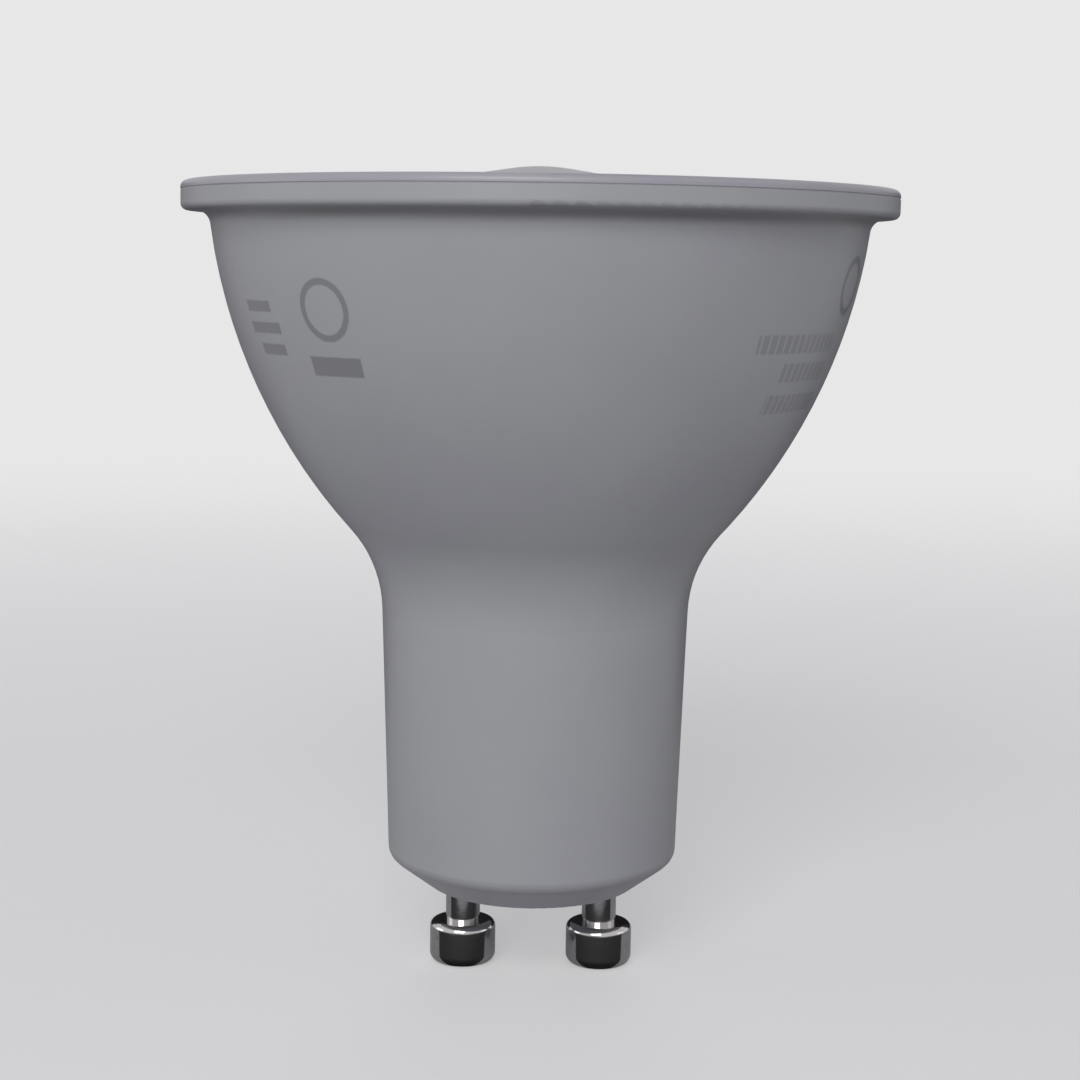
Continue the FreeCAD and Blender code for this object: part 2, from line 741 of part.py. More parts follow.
# Cover
def make_cover_lens():
    """Milky cover: lip over the housing's rim, plate with a domed centre, skirt with a snap bead."""
    body = new_body("cover_lens")
    drawing = Drawing(body, "cover_profile")
    # Both faces of the dome's wall turn about the same centres
    wall = s.cover_thickness
    dome_top = cover_top + s.dome_height
    outside = drawing.bell(dome_top, cover_top, s.dome_tip_radius, s.dome_flank_radius)
    inside = drawing.bell(dome_top - wall, cover_underside, s.dome_tip_radius - wall, s.dome_flank_radius + wall)
    skirt_radius = s.seat_bore_radius - s.skirt_gap
    bead_radius = skirt_radius + s.bead_depth
    skirt_inside = skirt_radius - s.skirt_thickness
    edge_centre = (s.rim_radius - s.rim_edge_radius, cover_top - s.rim_edge_radius)
    flank_foot = centre_of(drawing, outside[1])[0]
    top = drawing.line((flank_foot, cover_top.value), (edge_centre[0].value, cover_top.value))
    section = drawing.chain(
        (s.rim_radius, edge_centre[1]),
        (s.rim_radius, s.body_height + s.seam_edge),
        (s.rim_radius - s.seam_edge, s.body_height),
        (skirt_radius, s.body_height),
        (skirt_radius, bead_place + s.bead_height / 2),
        (bead_radius, bead_place + s.bead_height / 4),
        (bead_radius, bead_place - s.bead_height / 4),
        (skirt_radius, bead_place - s.bead_height / 2),
        (skirt_radius, skirt_foot),
        (skirt_inside, skirt_foot),
        (skirt_inside, cover_underside),
    )
    underside = drawing.line((skirt_inside.value, cover_underside.value), (flank_foot, cover_underside.value))
    axis = drawing.line((0, (dome_top - wall).value), (0, dome_top.value))
    drawing.constrain("Tangent", *outside[1].last, *top.first)
    drawing.constrain("Horizontal", top.index)
    drawing.meet(top.last, drawing.quarter(*edge_centre, s.rim_edge_radius, section[0].first))
    drawing.meet(section[-1].last, underside.first)
    drawing.place(underside.first, skirt_inside, cover_underside)
    drawing.constrain("Horizontal", underside.index)
    drawing.constrain("Tangent", *inside[1].last, *underside.last)
    drawing.meet(inside[0].first, axis.first)
    drawing.meet(axis.last, outside[0].first)
    revolve(body, drawing)
    return body


# Contact pins
def make_pin(label, x):
    """A turned pin: head, stem through the base, rivet flange on the floor and a bore for the lead."""
    body = new_body(label)
    drawing = Drawing(body, f"{label}_profile")
    floor = s.pin_length + s.floor_thickness
    top = s.pin_length + rivet_top
    shoulder_centre = (s.pin_head_radius - s.pin_shoulder_radius, s.pin_head_length - s.pin_shoulder_radius)
    head = drawing.chain((ZERO, ZERO), (s.pin_head_radius, ZERO), (s.pin_head_radius, shoulder_centre[1]))
    drawing.place(head[-1].last, s.pin_head_radius, shoulder_centre[1])
    shoulder_top = drawing.quarter(*shoulder_centre, s.pin_shoulder_radius, head[-1].last)
    stem = drawing.chain(
        (shoulder_centre[0], s.pin_head_length),
        (s.pin_stem_radius, s.pin_head_length),
        (s.pin_stem_radius, floor),
        (s.rivet_radius, floor),
        (s.rivet_radius, top),
        (s.pin_bore_radius, top),
        (s.pin_bore_radius, top - s.pin_bore_depth),
        (ZERO, top - s.pin_bore_depth),
        (ZERO, ZERO),
        after=shoulder_top,
    )
    drawing.meet(stem[-1].last, head[0].first)
    solid = revolve(body, drawing)
    round_circles(body, solid, s.pin_tip_radius, (ZERO, s.pin_head_radius))
    return move(body, x, ZERO, -s.pin_length)


# Heat sink and light board
def make_heat_sink():
    """A drawn cup: wall parallel to the bowl, flat floor with holes for the screws and the bush."""
    body = new_body("heat_sink")
    drawing = Drawing(body, "heat_sink_profile")
    _, _, bowl_arc = bowl_curve(drawing, guide=True)
    centre = centre_of(drawing, bowl_arc)
    outside = s.bowl_arc_radius - s.wall_thickness - s.sink_gap
    sides = []
    for radius, floor, corner in (
        (outside, sink_floor_height, s.sink_corner),
        (outside - s.sink_sheet, sink_floor_top, s.sink_corner_inside),
    ):
        foot = floor + corner
        foot_x, top_x = [
            centre[0] + math.sqrt(radius.value ** 2 - (height.value - centre[1]) ** 2)
            for height in (foot, skirt_foot)
        ]
        wall = drawing.arc(centre, (foot_x, foot.value), (top_x, skirt_foot.value))
        slant = drawing.line((foot_x - corner.value, floor.value), (foot_x, foot.value))
        level = drawing.line((0, floor.value), (foot_x - corner.value, floor.value))
        drawing.meet(wall.centre, bowl_arc.centre)
        drawing.measure("Radius", radius, wall.index)
        drawing.up(wall.first, foot)
        drawing.up(wall.last, skirt_foot)
        drawing.place(level.first, ZERO, floor)
        drawing.up(level.last, floor)
        drawing.meet(level.last, slant.first)
        drawing.meet(slant.last, wall.first)
        drawing.measure("DistanceX", corner, *slant.first, *slant.last)
        sides.append((level.first, wall.last, top_x))
    (outer_axis, outer_top, outer_x), (inner_axis, inner_top, inner_x) = sides
    axis = drawing.line((0, sink_floor_height.value), (0, sink_floor_top.value))
    lip = drawing.line((outer_x, skirt_foot.value), (inner_x, skirt_foot.value))
    drawing.meet(axis.first, outer_axis)
    drawing.meet(axis.last, inner_axis)
    drawing.meet(lip.first, outer_top)
    drawing.meet(lip.last, inner_top)
    revolve(body, drawing)
    holes = Drawing(body, "floor_holes", "XY_Plane", sink_floor_top)
    floor_holes(holes)
    pocket(body, holes, s.sink_floor_thickness)
    return body


def floor_holes(drawing):
    """The two screw holes and the hole for the bush, which the heat sink and the pad share."""
    drawing.circle(s.screw_place_radius, ZERO, screw_hole_radius)
    drawing.circle(-s.screw_place_radius, ZERO, screw_hole_radius)
    drawing.circle(ZERO, output_y, s.bush_radius + s.bush_gap)


def make_thermal_pad():
    body = new_body("thermal_pad")
    drawing = Drawing(body, "pad_outline", "XY_Plane")
    drawing.circle(ZERO, ZERO, s.pad_radius)
    floor_holes(drawing)
    pad(body, drawing, s.pad_thickness)
    return move(body, z=sink_floor_top)


def make_led_board():
    """Aluminium-core disc with holes for the screws and the two output pins."""
    body = new_body("led_board")
    drawing = Drawing(body, "led_board_outline", "XY_Plane")
    drawing.circle(ZERO, ZERO, s.led_board_radius)
    drawing.circle(s.screw_place_radius, ZERO, screw_hole_radius)
    drawing.circle(-s.screw_place_radius, ZERO, screw_hole_radius)
    drawing.circle(output_x, output_y, s.output_hole_radius)
    drawing.circle(-output_x, output_y, s.output_hole_radius)
    pad(body, drawing, s.led_board_thickness)
    return move(body, z=pad_top)


def make_leds():
    """Chips on a circle, each with a shallow dish of phosphor, turned towards the axis."""
    leds = []
    count = int(s.led_count.value)
    for place in range(count):
        body = new_body(f"led_{place + 1}")
        outline = Drawing(body, f"led_outline_{place + 1}", "XY_Plane")
        half_length = s.led_length / 2
        half_width = s.led_width / 2
        outline.rectangle(-half_length, half_length, -half_width, half_width)
        pad(body, outline, s.led_height)
        window = Drawing(body, f"led_window_{place + 1}", "XY_Plane", s.led_height)
        window.circle(ZERO, ZERO, s.led_window_radius)
        pocket(body, window, s.led_window_depth)
        # Half a step on from X, so that no chip meets a screw
        angle = 360 * (place + 0.5) / count
        turn(body, (0, 0, 1), angle)
        leds.append(move(body, *on_circle(s.led_circle_radius, angle), led_board_top))
    return leds


def make_board_screws():
    """Two self-tapping screws, from the LED board down into the housing's bosses."""
    screws = []
    shank = led_board_top - sink_floor_height + s.screw_grip
    top = shank + s.screw_head_height
    for side, x in (("right", s.screw_place_radius), ("left", -s.screw_place_radius)):
        body = new_body(f"screw_{side}")
        drawing = Drawing(body, f"screw_profile_{side}")
        drawing.loop(
            (ZERO, ZERO),
            (s.screw_tip_radius, ZERO),
            (s.screw_shank_radius, s.screw_tip_height),
            (s.screw_shank_radius, shank),
            (s.screw_head_radius, shank),
            (s.screw_head_radius, top),
            (ZERO, top),
        )
        revolve(body, drawing)
        cross = Drawing(body, f"screw_cross_{side}", "XY_Plane", top)
        near = s.screw_cross_width / 2
        far = s.screw_cross_reach
        cross.loop(
            (far, -near), (far, near), (near, near), (near, far), (-near, far), (-near, near),
            (-far, near), (-far, -near), (-near, -near), (-near, -far), (near, -far), (near, -near),
        )
        pocket(body, cross, s.screw_cross_depth)
        screws.append(move(body, x, ZERO, led_board_top - shank))
    pair = doc.addObject("Part::Compound", "board_screws")
    pair.Label = "board_screws"
    pair.Links = screws
    return pair


# Way from the driver through the heat sink
def make_insulating_bush():
    """Flanged bush in the heat sink's floor, with a square hole for each output pin."""
    body = new_body("insulating_bush")
    drawing = Drawing(body, "bush_profile")
    height = s.bush_flange_thickness + s.sink_floor_thickness + s.pad_thickness
    drawing.loop(
        (ZERO, ZERO),
        (s.bush_flange_radius, ZERO),
        (s.bush_flange_radius, s.bush_flange_thickness),
        (s.bush_radius, s.bush_flange_thickness),
        (s.bush_radius, height),
        (ZERO, height),
    )
    revolve(body, drawing)
    holes = Drawing(body, "bush_holes", "XY_Plane", height)
    half = s.output_pin_width / 2 + s.output_pin_gap
    for x in (output_x, -output_x):
        holes.rectangle(x - half, x + half, -half, half)
    pocket(body, holes, height)
    return move(body, ZERO, output_y, sink_floor_height - s.bush_flange_thickness)


def make_output_pins():
    """Square pins on the back of the driver board that end above the LED board."""
    height = led_board_top + s.output_pin_stand - output_foot_height
    width = s.output_pin_width
    pins = []
    for side, x in (("right", output_x), ("left", -output_x)):
        corner = (x - width / 2, board_back, output_foot_height)
        pins.append(block(f"output_pin_{side}", *corner, width, width, height))
    return pins


# Driver
def make_driver_board():
    """Upright board in the neck and bowl, its top corners cut off."""
    body = new_body("driver_board")
    drawing = Drawing(body, "board_outline")
    half = s.board_half_width
    drawing.loop(
        (-half, s.board_foot_height),
        (half, s.board_foot_height),
        (half, board_top_height - s.board_corner),
        (half - s.board_corner, board_top_height),
        (s.board_corner - half, board_top_height),
        (-half, board_top_height - s.board_corner),
    )
    pad(body, drawing, s.board_thickness, reversed_side=True)
    return move(body, y=s.board_front)


def add_lead(body, name, start, corner_height, end_y, x=ZERO):
    """A bent wire on the body, from start up or down to a corner height, then level to end_y."""
    path = Drawing(body, f"{name}_path", "YZ_Plane", x)
    path.bend(start, (start[0], corner_height), (end_y, corner_height), s.lead_bend)
    section = Drawing(body, f"{name}_section", "XY_Plane", start[1])
    section.circle(x, start[0], s.lead_radius)
    pipe(body, path, section)


def make_pin_lead():
    """Bare wire from the right pin's bore to the driver board."""
    body = new_body("pin_lead")
    add_lead(body, "pin_lead", (ZERO, pin_bore_foot), rivet_top + s.pin_lead_rise, s.board_front)
    return move(body, pin_place)


def make_fusible_resistor():
    """Wirewound resistor that stands in the left pin's bore, its upper lead bent to the board."""
    body = new_body("fusible_resistor")
    drawing = Drawing(body, "fuse_profile")
    foot = rivet_top + s.fuse_stand
    top = foot + s.fuse_length
    drawing.loop(
        (ZERO, pin_bore_foot),
        (s.lead_radius, pin_bore_foot),
        (s.lead_radius, foot),
        (s.fuse_radius - s.fuse_edge, foot),
        (s.fuse_radius, foot + s.fuse_edge),
        (s.fuse_radius, top - s.fuse_edge),
        (s.fuse_radius - s.fuse_edge, top),
        (ZERO, top),
    )
    revolve(body, drawing)
    add_lead(body, "fuse_lead", (ZERO, top), top + s.fuse_lead_rise, s.board_front)
    return move(body, -pin_place)


# The room above the right pin's lead and under the heat sink is shared out evenly in height:
# the choke stands below and the electrolytic capacitor, with the film capacitor, above.
front_foot = rivet_top + s.pin_lead_rise + s.lead_radius
can_whole_length = s.can_length + s.can_lead_drop + s.lead_radius
front_gap = (sink_floor_height - front_foot - s.choke_radius * 2 - can_whole_length) / 3
choke_height = front_foot + front_gap + s.choke_radius
can_foot_height = sink_floor_height - front_gap - s.can_length


def make_film_capacitor():
    """Moulded box against the board's front, beside the can, with rounded edges."""
    left = s.can_radius - s.can_offset + s.film_can_gap
    corner = (left, s.board_front - s.film_depth, can_foot_height)
    box = block("film_box", *corner, s.film_width, s.film_depth, s.film_height)
    doc.recompute()
    rounded = doc.addObject("Part::Fillet", "film_capacitor")
    rounded.Label = "film_capacitor"
    rounded.Base = box
    edge_radius = s.film_edge.value
    edges = range(1, len(box.Shape.Edges) + 1)
    rounded.Edges = [(index, edge_radius, edge_radius) for index in edges]
    return rounded


def make_choke():
    """Drum core on the board's front and the wire wound on its hub."""
    core = new_body("choke_core")
    drawing = Drawing(core, "choke_profile")
    upper = s.choke_length - s.choke_flange
    drawing.loop(
        (ZERO, ZERO),
        (s.choke_radius, ZERO),
        (s.choke_radius, s.choke_flange),
        (s.choke_hub_radius, s.choke_flange),
        (s.choke_hub_radius, upper),
        (s.choke_radius, upper),
        (s.choke_radius, s.choke_length),
        (ZERO, s.choke_length),
    )
    revolve(core, drawing)
    winding = new_body("choke_winding")
    section = Drawing(winding, "winding_profile")
    section.rectangle(s.choke_hub_radius, s.choke_radius - s.choke_wire_depth, s.choke_flange, upper)
    revolve(winding, section)
    pieces = []
    for piece in (core, winding):
        turn(piece, (1, 0, 0), 90)
        pieces.append(move(piece, s.choke_offset, s.board_front, choke_height))
    return pieces


def make_electrolytic_capacitor():
    """Aluminium can that stands in the bowl, crimped near its foot, two leads bent to the board."""
    body = new_body("electrolytic_capacitor")
    drawing = Drawing(body, "can_profile")
    crimp_foot = s.can_crimp_height - s.can_crimp_depth
    crimp_top = s.can_crimp_height + s.can_crimp_depth
    drawing.loop(
        (ZERO, ZERO),
        (s.can_radius, ZERO),
        (s.can_radius, crimp_foot),
        (s.can_radius - s.can_crimp_depth, s.can_crimp_height),
        (s.can_radius, crimp_top),
        (s.can_radius, s.can_length - s.can_edge),
        (s.can_radius - s.can_edge, s.can_length),
        (ZERO, s.can_length),
    )
    revolve(body, drawing)
    reach = s.can_radius + s.can_board_gap
    for side, x in (("right", s.can_lead_spacing / 2), ("left", -s.can_lead_spacing / 2)):
        add_lead(body, f"can_lead_{side}", (ZERO, ZERO), -s.can_lead_drop, reach, x)
    return move(body, -s.can_offset, s.board_front - reach, can_foot_height)


def make_leaded_package(label, height, length, width, depth, pitch, lead_count):
    """A moulded package behind the board, its long sides upright, with flat leads on the board."""
    corner = (-width / 2, board_back + s.chip_stand, height - length / 2)
    pieces = [block(f"{label}_body", *corner, width, depth, length)]
    size = (s.chip_lead_root + s.chip_lead_reach, s.chip_lead_thickness, s.chip_lead_width)
    count = int(lead_count.value)
    for place in range(count):
        foot = height + pitch * (place - (count - 1) / 2) - s.chip_lead_width / 2
        for side, x in (("right", width / 2 - s.chip_lead_root), ("left", -width / 2 - s.chip_lead_reach)):
            pieces.append(block(f"{label}_lead_{side}_{place + 1}", x, board_back, foot, *size))
    return joined(label, pieces)


def make_small_part(label, height, length, width, depth):
    """A plain surface-mounted part on the board's back, centred on the axis."""
    return block(label, -length / 2, board_back, height - width / 2, length, depth, width)


def make_parts_behind():
    """The parts on the board's back, from its foot up to the output pins with even gaps."""
    chip_size = (s.chip_length, s.chip_width, s.chip_body_depth)
    bridge_size = (s.bridge_length, s.bridge_width, s.bridge_body_depth)
    small_size = (s.small_part_length, s.small_part_width)
    diode_size = (s.diode_length, s.diode_width, s.diode_depth)
    parts = (
        ("bridge_rectifier", s.bridge_length, make_leaded_package,
         (*bridge_size, s.bridge_lead_pitch, s.bridge_lead_count)),
        ("sense_resistor", s.small_part_width, make_small_part, (*small_size, s.resistor_depth)),
        ("driver_chip", s.chip_length, make_leaded_package,
         (*chip_size, s.chip_lead_pitch, s.chip_lead_count)),
        ("ceramic_capacitor", s.small_part_width, make_small_part, (*small_size, s.ceramic_depth)),
        ("catch_diode", s.diode_width, make_small_part, diode_size),
    )
    spare = output_foot_height - s.board_foot_height
    for _, tall, _, _ in parts:
        spare = spare - tall
    gap = spare / (len(parts) + 1)
    pieces = []
    foot = s.board_foot_height + gap
    for label, tall, make, size in parts:
        pieces.append(make(label, foot + tall / 2, *size))
        foot = foot + tall + gap
    return pieces


nodes = [
    make_housing(),
    make_cover_lens(),
    make_pin("pin_left", -pin_place),
    make_pin("pin_right", pin_place),
    make_heat_sink(),
    make_thermal_pad(),
    make_led_board(),
    *make_leds(),
    make_board_screws(),
    make_insulating_bush(),
    *make_output_pins(),
    make_driver_board(),
    make_pin_lead(),
    make_fusible_resistor(),
    make_film_capacitor(),
    *make_choke(),
    make_electrolytic_capacitor(),
    *make_parts_behind(),
]
doc.recompute()

for item in doc.Objects:
    if "Invalid" in item.State or "Error" in item.State:
        raise RuntimeError(f"{item.Label} did not compute: {item.State}")
os.makedirs("parts", exist_ok=True)
for node in nodes:
    if node.Shape.isNull() or not node.Shape.isValid():
        raise RuntimeError(f"{node.Label} has no valid shape")
    node.Shape.exportStep(f"parts/{node.Label}.step")
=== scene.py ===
import math

import bpy
import numpy as np
from bpy.props import (
    FloatProperty, FloatVectorProperty, IntProperty, PointerProperty,
)
from mathutils import Matrix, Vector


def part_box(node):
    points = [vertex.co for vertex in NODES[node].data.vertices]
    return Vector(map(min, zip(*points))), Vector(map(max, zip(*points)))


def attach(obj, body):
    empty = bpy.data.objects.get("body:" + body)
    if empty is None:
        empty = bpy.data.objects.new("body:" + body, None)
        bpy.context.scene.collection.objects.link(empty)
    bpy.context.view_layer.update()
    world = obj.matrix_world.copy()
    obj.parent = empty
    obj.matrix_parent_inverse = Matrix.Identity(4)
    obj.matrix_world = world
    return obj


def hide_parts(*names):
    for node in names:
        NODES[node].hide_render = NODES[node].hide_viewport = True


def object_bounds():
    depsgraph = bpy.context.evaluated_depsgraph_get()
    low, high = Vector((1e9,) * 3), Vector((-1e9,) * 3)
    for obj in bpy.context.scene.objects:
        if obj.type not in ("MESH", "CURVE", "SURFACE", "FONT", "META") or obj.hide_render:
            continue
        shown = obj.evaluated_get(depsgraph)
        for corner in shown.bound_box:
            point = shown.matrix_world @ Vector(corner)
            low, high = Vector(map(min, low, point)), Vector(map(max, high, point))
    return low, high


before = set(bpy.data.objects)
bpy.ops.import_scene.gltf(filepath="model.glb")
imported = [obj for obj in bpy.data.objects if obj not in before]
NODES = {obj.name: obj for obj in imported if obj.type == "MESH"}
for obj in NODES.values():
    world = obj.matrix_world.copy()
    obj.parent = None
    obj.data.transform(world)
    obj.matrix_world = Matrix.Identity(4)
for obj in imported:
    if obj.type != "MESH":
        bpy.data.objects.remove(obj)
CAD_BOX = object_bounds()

bl_info = {
    "name": "Spotlight Bulb",
    "version": (1, 0, 0),
    "blender": (4, 5, 0),
    "location": "3D View > Sidebar > Spotlight Bulb",
    "description": "Finishes the parts of a pin-base spotlight bulb and sets it on a studio floor",
    "category": "Object",
}

# Places in the frame, in millimetres: Z up the lamp's axis from the end face of the base,
# X along the two pins, -Y to the front.
MM = 0.001
FLOOR_HEIGHT = CAD_BOX[0].z / MM

# The rim's two edges: their rounds' centres lie at this radius and these heights
EDGE_RADIUS, RIM_FOOT, RIM_TOP = 24.55, 48.45, 49.55
# The heights of the corner under the rim and of the bend in the foot, where shade is painted
UNDER_RIM, FOOT_BEND = 47.7, 2.1
# The arc of the bowl's section: its radius, and how far beyond the axis and how high its centre is
BOWL_ARC, BOWL_ARC_BEYOND, BOWL_ARC_HEIGHT = 39.4, 16.08, 52.14

# The LED board: the circle of its packages, the copper ring at its edge, its top and theirs
LED_CIRCLE, EDGE_TRACK, LED_BOARD_TOP, LED_TOP = 9.5, 15.2, 40.2, 41.0

# The driver board: its two faces along Y, and its size and middle along X and Z
BOARD_FRONT, BOARD_BACK = 2.0, 3.2
BOARD_HALF_WIDTH, BOARD_HALF_HEIGHT, BOARD_MIDDLE = 8.0, 15.75, 19.75
# The axes of the fusible resistor, the can and the choke
FUSE_X = -5.0
CAN_X, CAN_Y, CAN_FOOT, CAN_TOP = -3.6, -2.4, 22.3, 33.3
CHOKE_X, CHOKE_Z = 1.8, 13.0
# Packages on the board's back: their heights, and how far from the middle their metal starts
RECTIFIER_TOP, SENSE_MIDDLE, DIODE_FOOT = 10.9, 13.87, 27.7
DRIVER_CHIP_FOOT, DRIVER_CHIP_TOP = 16.85, 21.75
LEADS_START, CAPS_START = 2.0, 1.14

# Printing on the bowl: a field of plain bars and rings in place of the marks.
# Each bar: degrees round from the front, height, half length along the bowl, half height,
# and whether it is cut into dashes.
PRINTED_BARS = (
    (-37.4, 38.0, 2.25, 0.62, False),
    (-56.0, 41.7, 1.60, 0.36, False),
    (-55.2, 40.3, 1.95, 0.36, False),
    (-54.4, 38.9, 1.60, 0.36, False),
    (55.0, 39.75, 5.10, 0.62, True),
    (59.5, 37.85, 3.35, 0.62, True),
    (59.8, 35.75, 4.20, 0.62, True),
)
# Each ring: degrees round from the front, height, radius of its line, half the line's width.
PRINTED_RINGS = (
    (-37.4, 41.6, 1.80, 0.22),
    (69.8, 43.5, 1.75, 0.26),
)
# The bowl's radius where it is printed, and how softly the ink ends
PRINT_RADIUS, INK_EDGE = 21.5, 0.07

# Bare tinned metal on leads: clean, and smeared
TINNED, SMEARED = (0.62, 0.61, 0.59), (0.52, 0.50, 0.46)
ALUMINIUM, DULL_ALUMINIUM = (0.60, 0.60, 0.61), (0.50, 0.50, 0.52)
SLEEVE_BLUE = (0.012, 0.016, 0.045)

# The floor, in millimetres from the lamp's axis: its edge, where its bounce turns from near
# to far, and where it melts into the background
FLOOR_EDGE, FLOOR_NEAR, FLOOR_MELT = 3000.0, (12.0, 50.0), (40.0, 420.0)

# In metres and radians: how far each lamp stands from the point that it lights, and the
# camera's place, turn about the upright, dip below level and roll
LAMP_DISTANCE, LIT_POINT = 0.60, (0.0, 0.0, 0.025)
CAMERA_PLACE = (0.002152, -0.149334, 0.044779)
CAMERA_TURN, CAMERA_DIP, CAMERA_ROLL = 0.01247, 0.13177, 0.01426


class Wire:
    """A socket that carries one number over a surface; arithmetic on it adds Math nodes."""

    def __init__(self, tree, socket):
        self.tree = tree
        self.socket = socket

    def __add__(self, other):
        return self.tree.math("ADD", self, other)

    __radd__ = __add__

    def __sub__(self, other):
        return self.tree.math("SUBTRACT", self, other)

    def __rsub__(self, other):
        return self.tree.math("SUBTRACT", other, self)

    def __mul__(self, other):
        return self.tree.math("MULTIPLY", self, other)

    __rmul__ = __mul__

    def __truediv__(self, other):
        return self.tree.math("DIVIDE", self, other)

    def __pow__(self, other):
        return self.tree.math("POWER", self, other)

    def __abs__(self):
        return self.tree.math("ABSOLUTE", self)


class Tree:
    """A node tree that is filled through one method."""

    def __init__(self, node_tree):
        self.nodes = node_tree.nodes
        self.links = node_tree.links
        self.nodes.clear()

    def node(self, kind, settings=None, sockets=None, output=0):
        """Adds a node: its settings first, then the values or links of its sockets."""
        made = self.nodes.new("ShaderNode" + kind)
        for name, value in (settings or {}).items():
            setattr(made, name, value)
        for name, value in (sockets or {}).items():
            socket = made.inputs[name]
            if isinstance(value, Wire):
                self.links.new(value.socket, socket)
            elif socket.type == "RGBA":
                socket.default_value = (*value[:3], 1.0)
            else:
                socket.default_value = value
        return Wire(self, made.outputs[output]) if made.outputs else None

    def math(self, operation, *values):
        return self.node("Math", {"operation": operation}, dict(enumerate(values)))

    def waves(self, value, half_length):
        """The value folded back and forth: a triangle wave from 0 to half its wave's length."""
        return self.math("PINGPONG", value, half_length)

    def length(self, first, second):
        """The length that two distances at right angles make: the root of their squares' sum."""
        return self.math("SQRT", first ** 2.0 + second ** 2.0)

    def largest(self, *values):
        """The largest of several numbers, pair by pair."""
        result = values[0]
        for value in values[1:]:
            result = self.math("MAXIMUM", result, value)
        return result

    def step(self, value, low, high, start=0.0, end=1.0):
        """Rises smoothly from start to end while the value goes from low to high."""
        return self.node(
            "MapRange", {"interpolation_type": "SMOOTHSTEP"},
            {"Value": value, "From Min": low, "From Max": high, "To Min": start, "To Max": end},
        )

    def blend(self, factor, first, second):
        """A colour between two colours."""
        return self.node(
            "Mix", {"data_type": "RGBA"}, {0: factor, 6: first, 7: second}, output=2)

    def split(self, vector):
        """The X, Y and Z of a vector."""
        whole = self.node("SeparateXYZ", sockets={0: vector}).socket.node
        return [Wire(self, socket) for socket in whole.outputs]

    def join(self, x, y, z):
        return self.node("CombineXYZ", sockets={0: x, 1: y, 2: z})

    def noise(self, place, size, detail=2.0, roughness=0.5, distortion=0.0):
        """Noise from 0 to 1 whose lumps are about the size given, in millimetres."""
        return self.node("TexNoise", sockets={
            "Vector": place, "Scale": 1 / size, "Detail": detail, "Roughness": roughness,
            "Distortion": distortion,
        })

    def pale_rays(self):
        """One for rays that show the background: from the camera, off gloss, through glass."""
        path = self.node("LightPath").socket.node
        rays = ["Is Camera Ray", "Is Glossy Ray", "Is Transmission Ray"]
        return self.largest(*[Wire(self, path.outputs[name]) for name in rays])


class Finish(Tree):
    """A material: one shader, its constants on its own sockets, and what varies linked to it."""

    def __init__(self, name, **constants):
        self.material = bpy.data.materials.new(name)
        self.material.use_nodes = True
        super().__init__(self.material.node_tree)
        shader = self.node("BsdfPrincipled", sockets={
            socket.replace("_", " ").title().replace("Ior", "IOR"): value
            for socket, value in constants.items()
        })
        self.shader = shader.socket.node
        self.node("OutputMaterial", sockets={"Surface": shader})
        self.place = self.node(
            "VectorMath", {"operation": "SCALE"},
            {0: self.node("TexCoord", output="Object"), "Scale": 1 / MM},
        )
        self.x, self.y, self.z = self.split(self.place)

    def feed(self, **wires):
        """Links what varies over the surface to the shader."""
        for name, wire in wires.items():
            self.links.new(wire.socket, self.shader.inputs[name.replace("_", " ").title()])

    def bump(self, height, depth, strength=1.0, **normal):
        """Raises the surface by a height from 0 to 1, times a depth in millimetres."""
        self.feed(normal=self.node("Bump", sockets={
            "Height": height, "Distance": depth * MM, "Strength": strength, **normal,
        }))

    def rounded_edge(self, edge_radius, height, side):
        """The surface's normal, made even on the round of an edge about the lamp's axis.

        There it points away from the round's centre, which lies at that radius and height. The
        round is on the side given: 1 for above its centre, -1 for beneath it."""
        radius = self.radius()
        out, up = radius - edge_radius, self.z - height
        away = self.node("VectorMath", {"operation": "NORMALIZE"}, {
            0: self.join(self.x * out / radius, self.y * out / radius, up)})
        away = self.node("VectorTransform", {
            "vector_type": "NORMAL", "convert_from": "OBJECT", "convert_to": "WORLD"}, {0: away})
        on_round = self.step(out, 0.0, 0.01) * self.step(up * side, 0.0, 0.01)
        own = self.node("NewGeometry", output="Normal")
        return self.node(
            "Mix", {"data_type": "VECTOR"}, {0: on_round, 4: own, 5: away}, output=1)

    def surface(self, shader):
        """Sends a shader to the material's output in place of its plain one."""
        output = next(node for node in self.nodes if node.type == "OUTPUT_MATERIAL")
        self.links.new(shader.socket, output.inputs["Surface"])

    def radius(self, x=0.0, y=0.0):
        """The distance from an upright axis."""
        return self.length(self.x - x, self.y - y)

    def turned(self):
        """The angle round the lamp's axis in radians, from the front towards +X."""
        return self.math("ARCTAN2", self.x, 0.0 - self.y)

    def stretched(self, across, along, up):
        """The place with each direction divided by a length, for noise with a grain."""
        return self.join(self.x / across, self.y / along, self.z / up)

    def paint(self, *names):
        """Puts the material on CAD nodes."""
        for name in names:
            slots = NODES[name].data.materials
            slots.clear()
            slots.append(self.material)


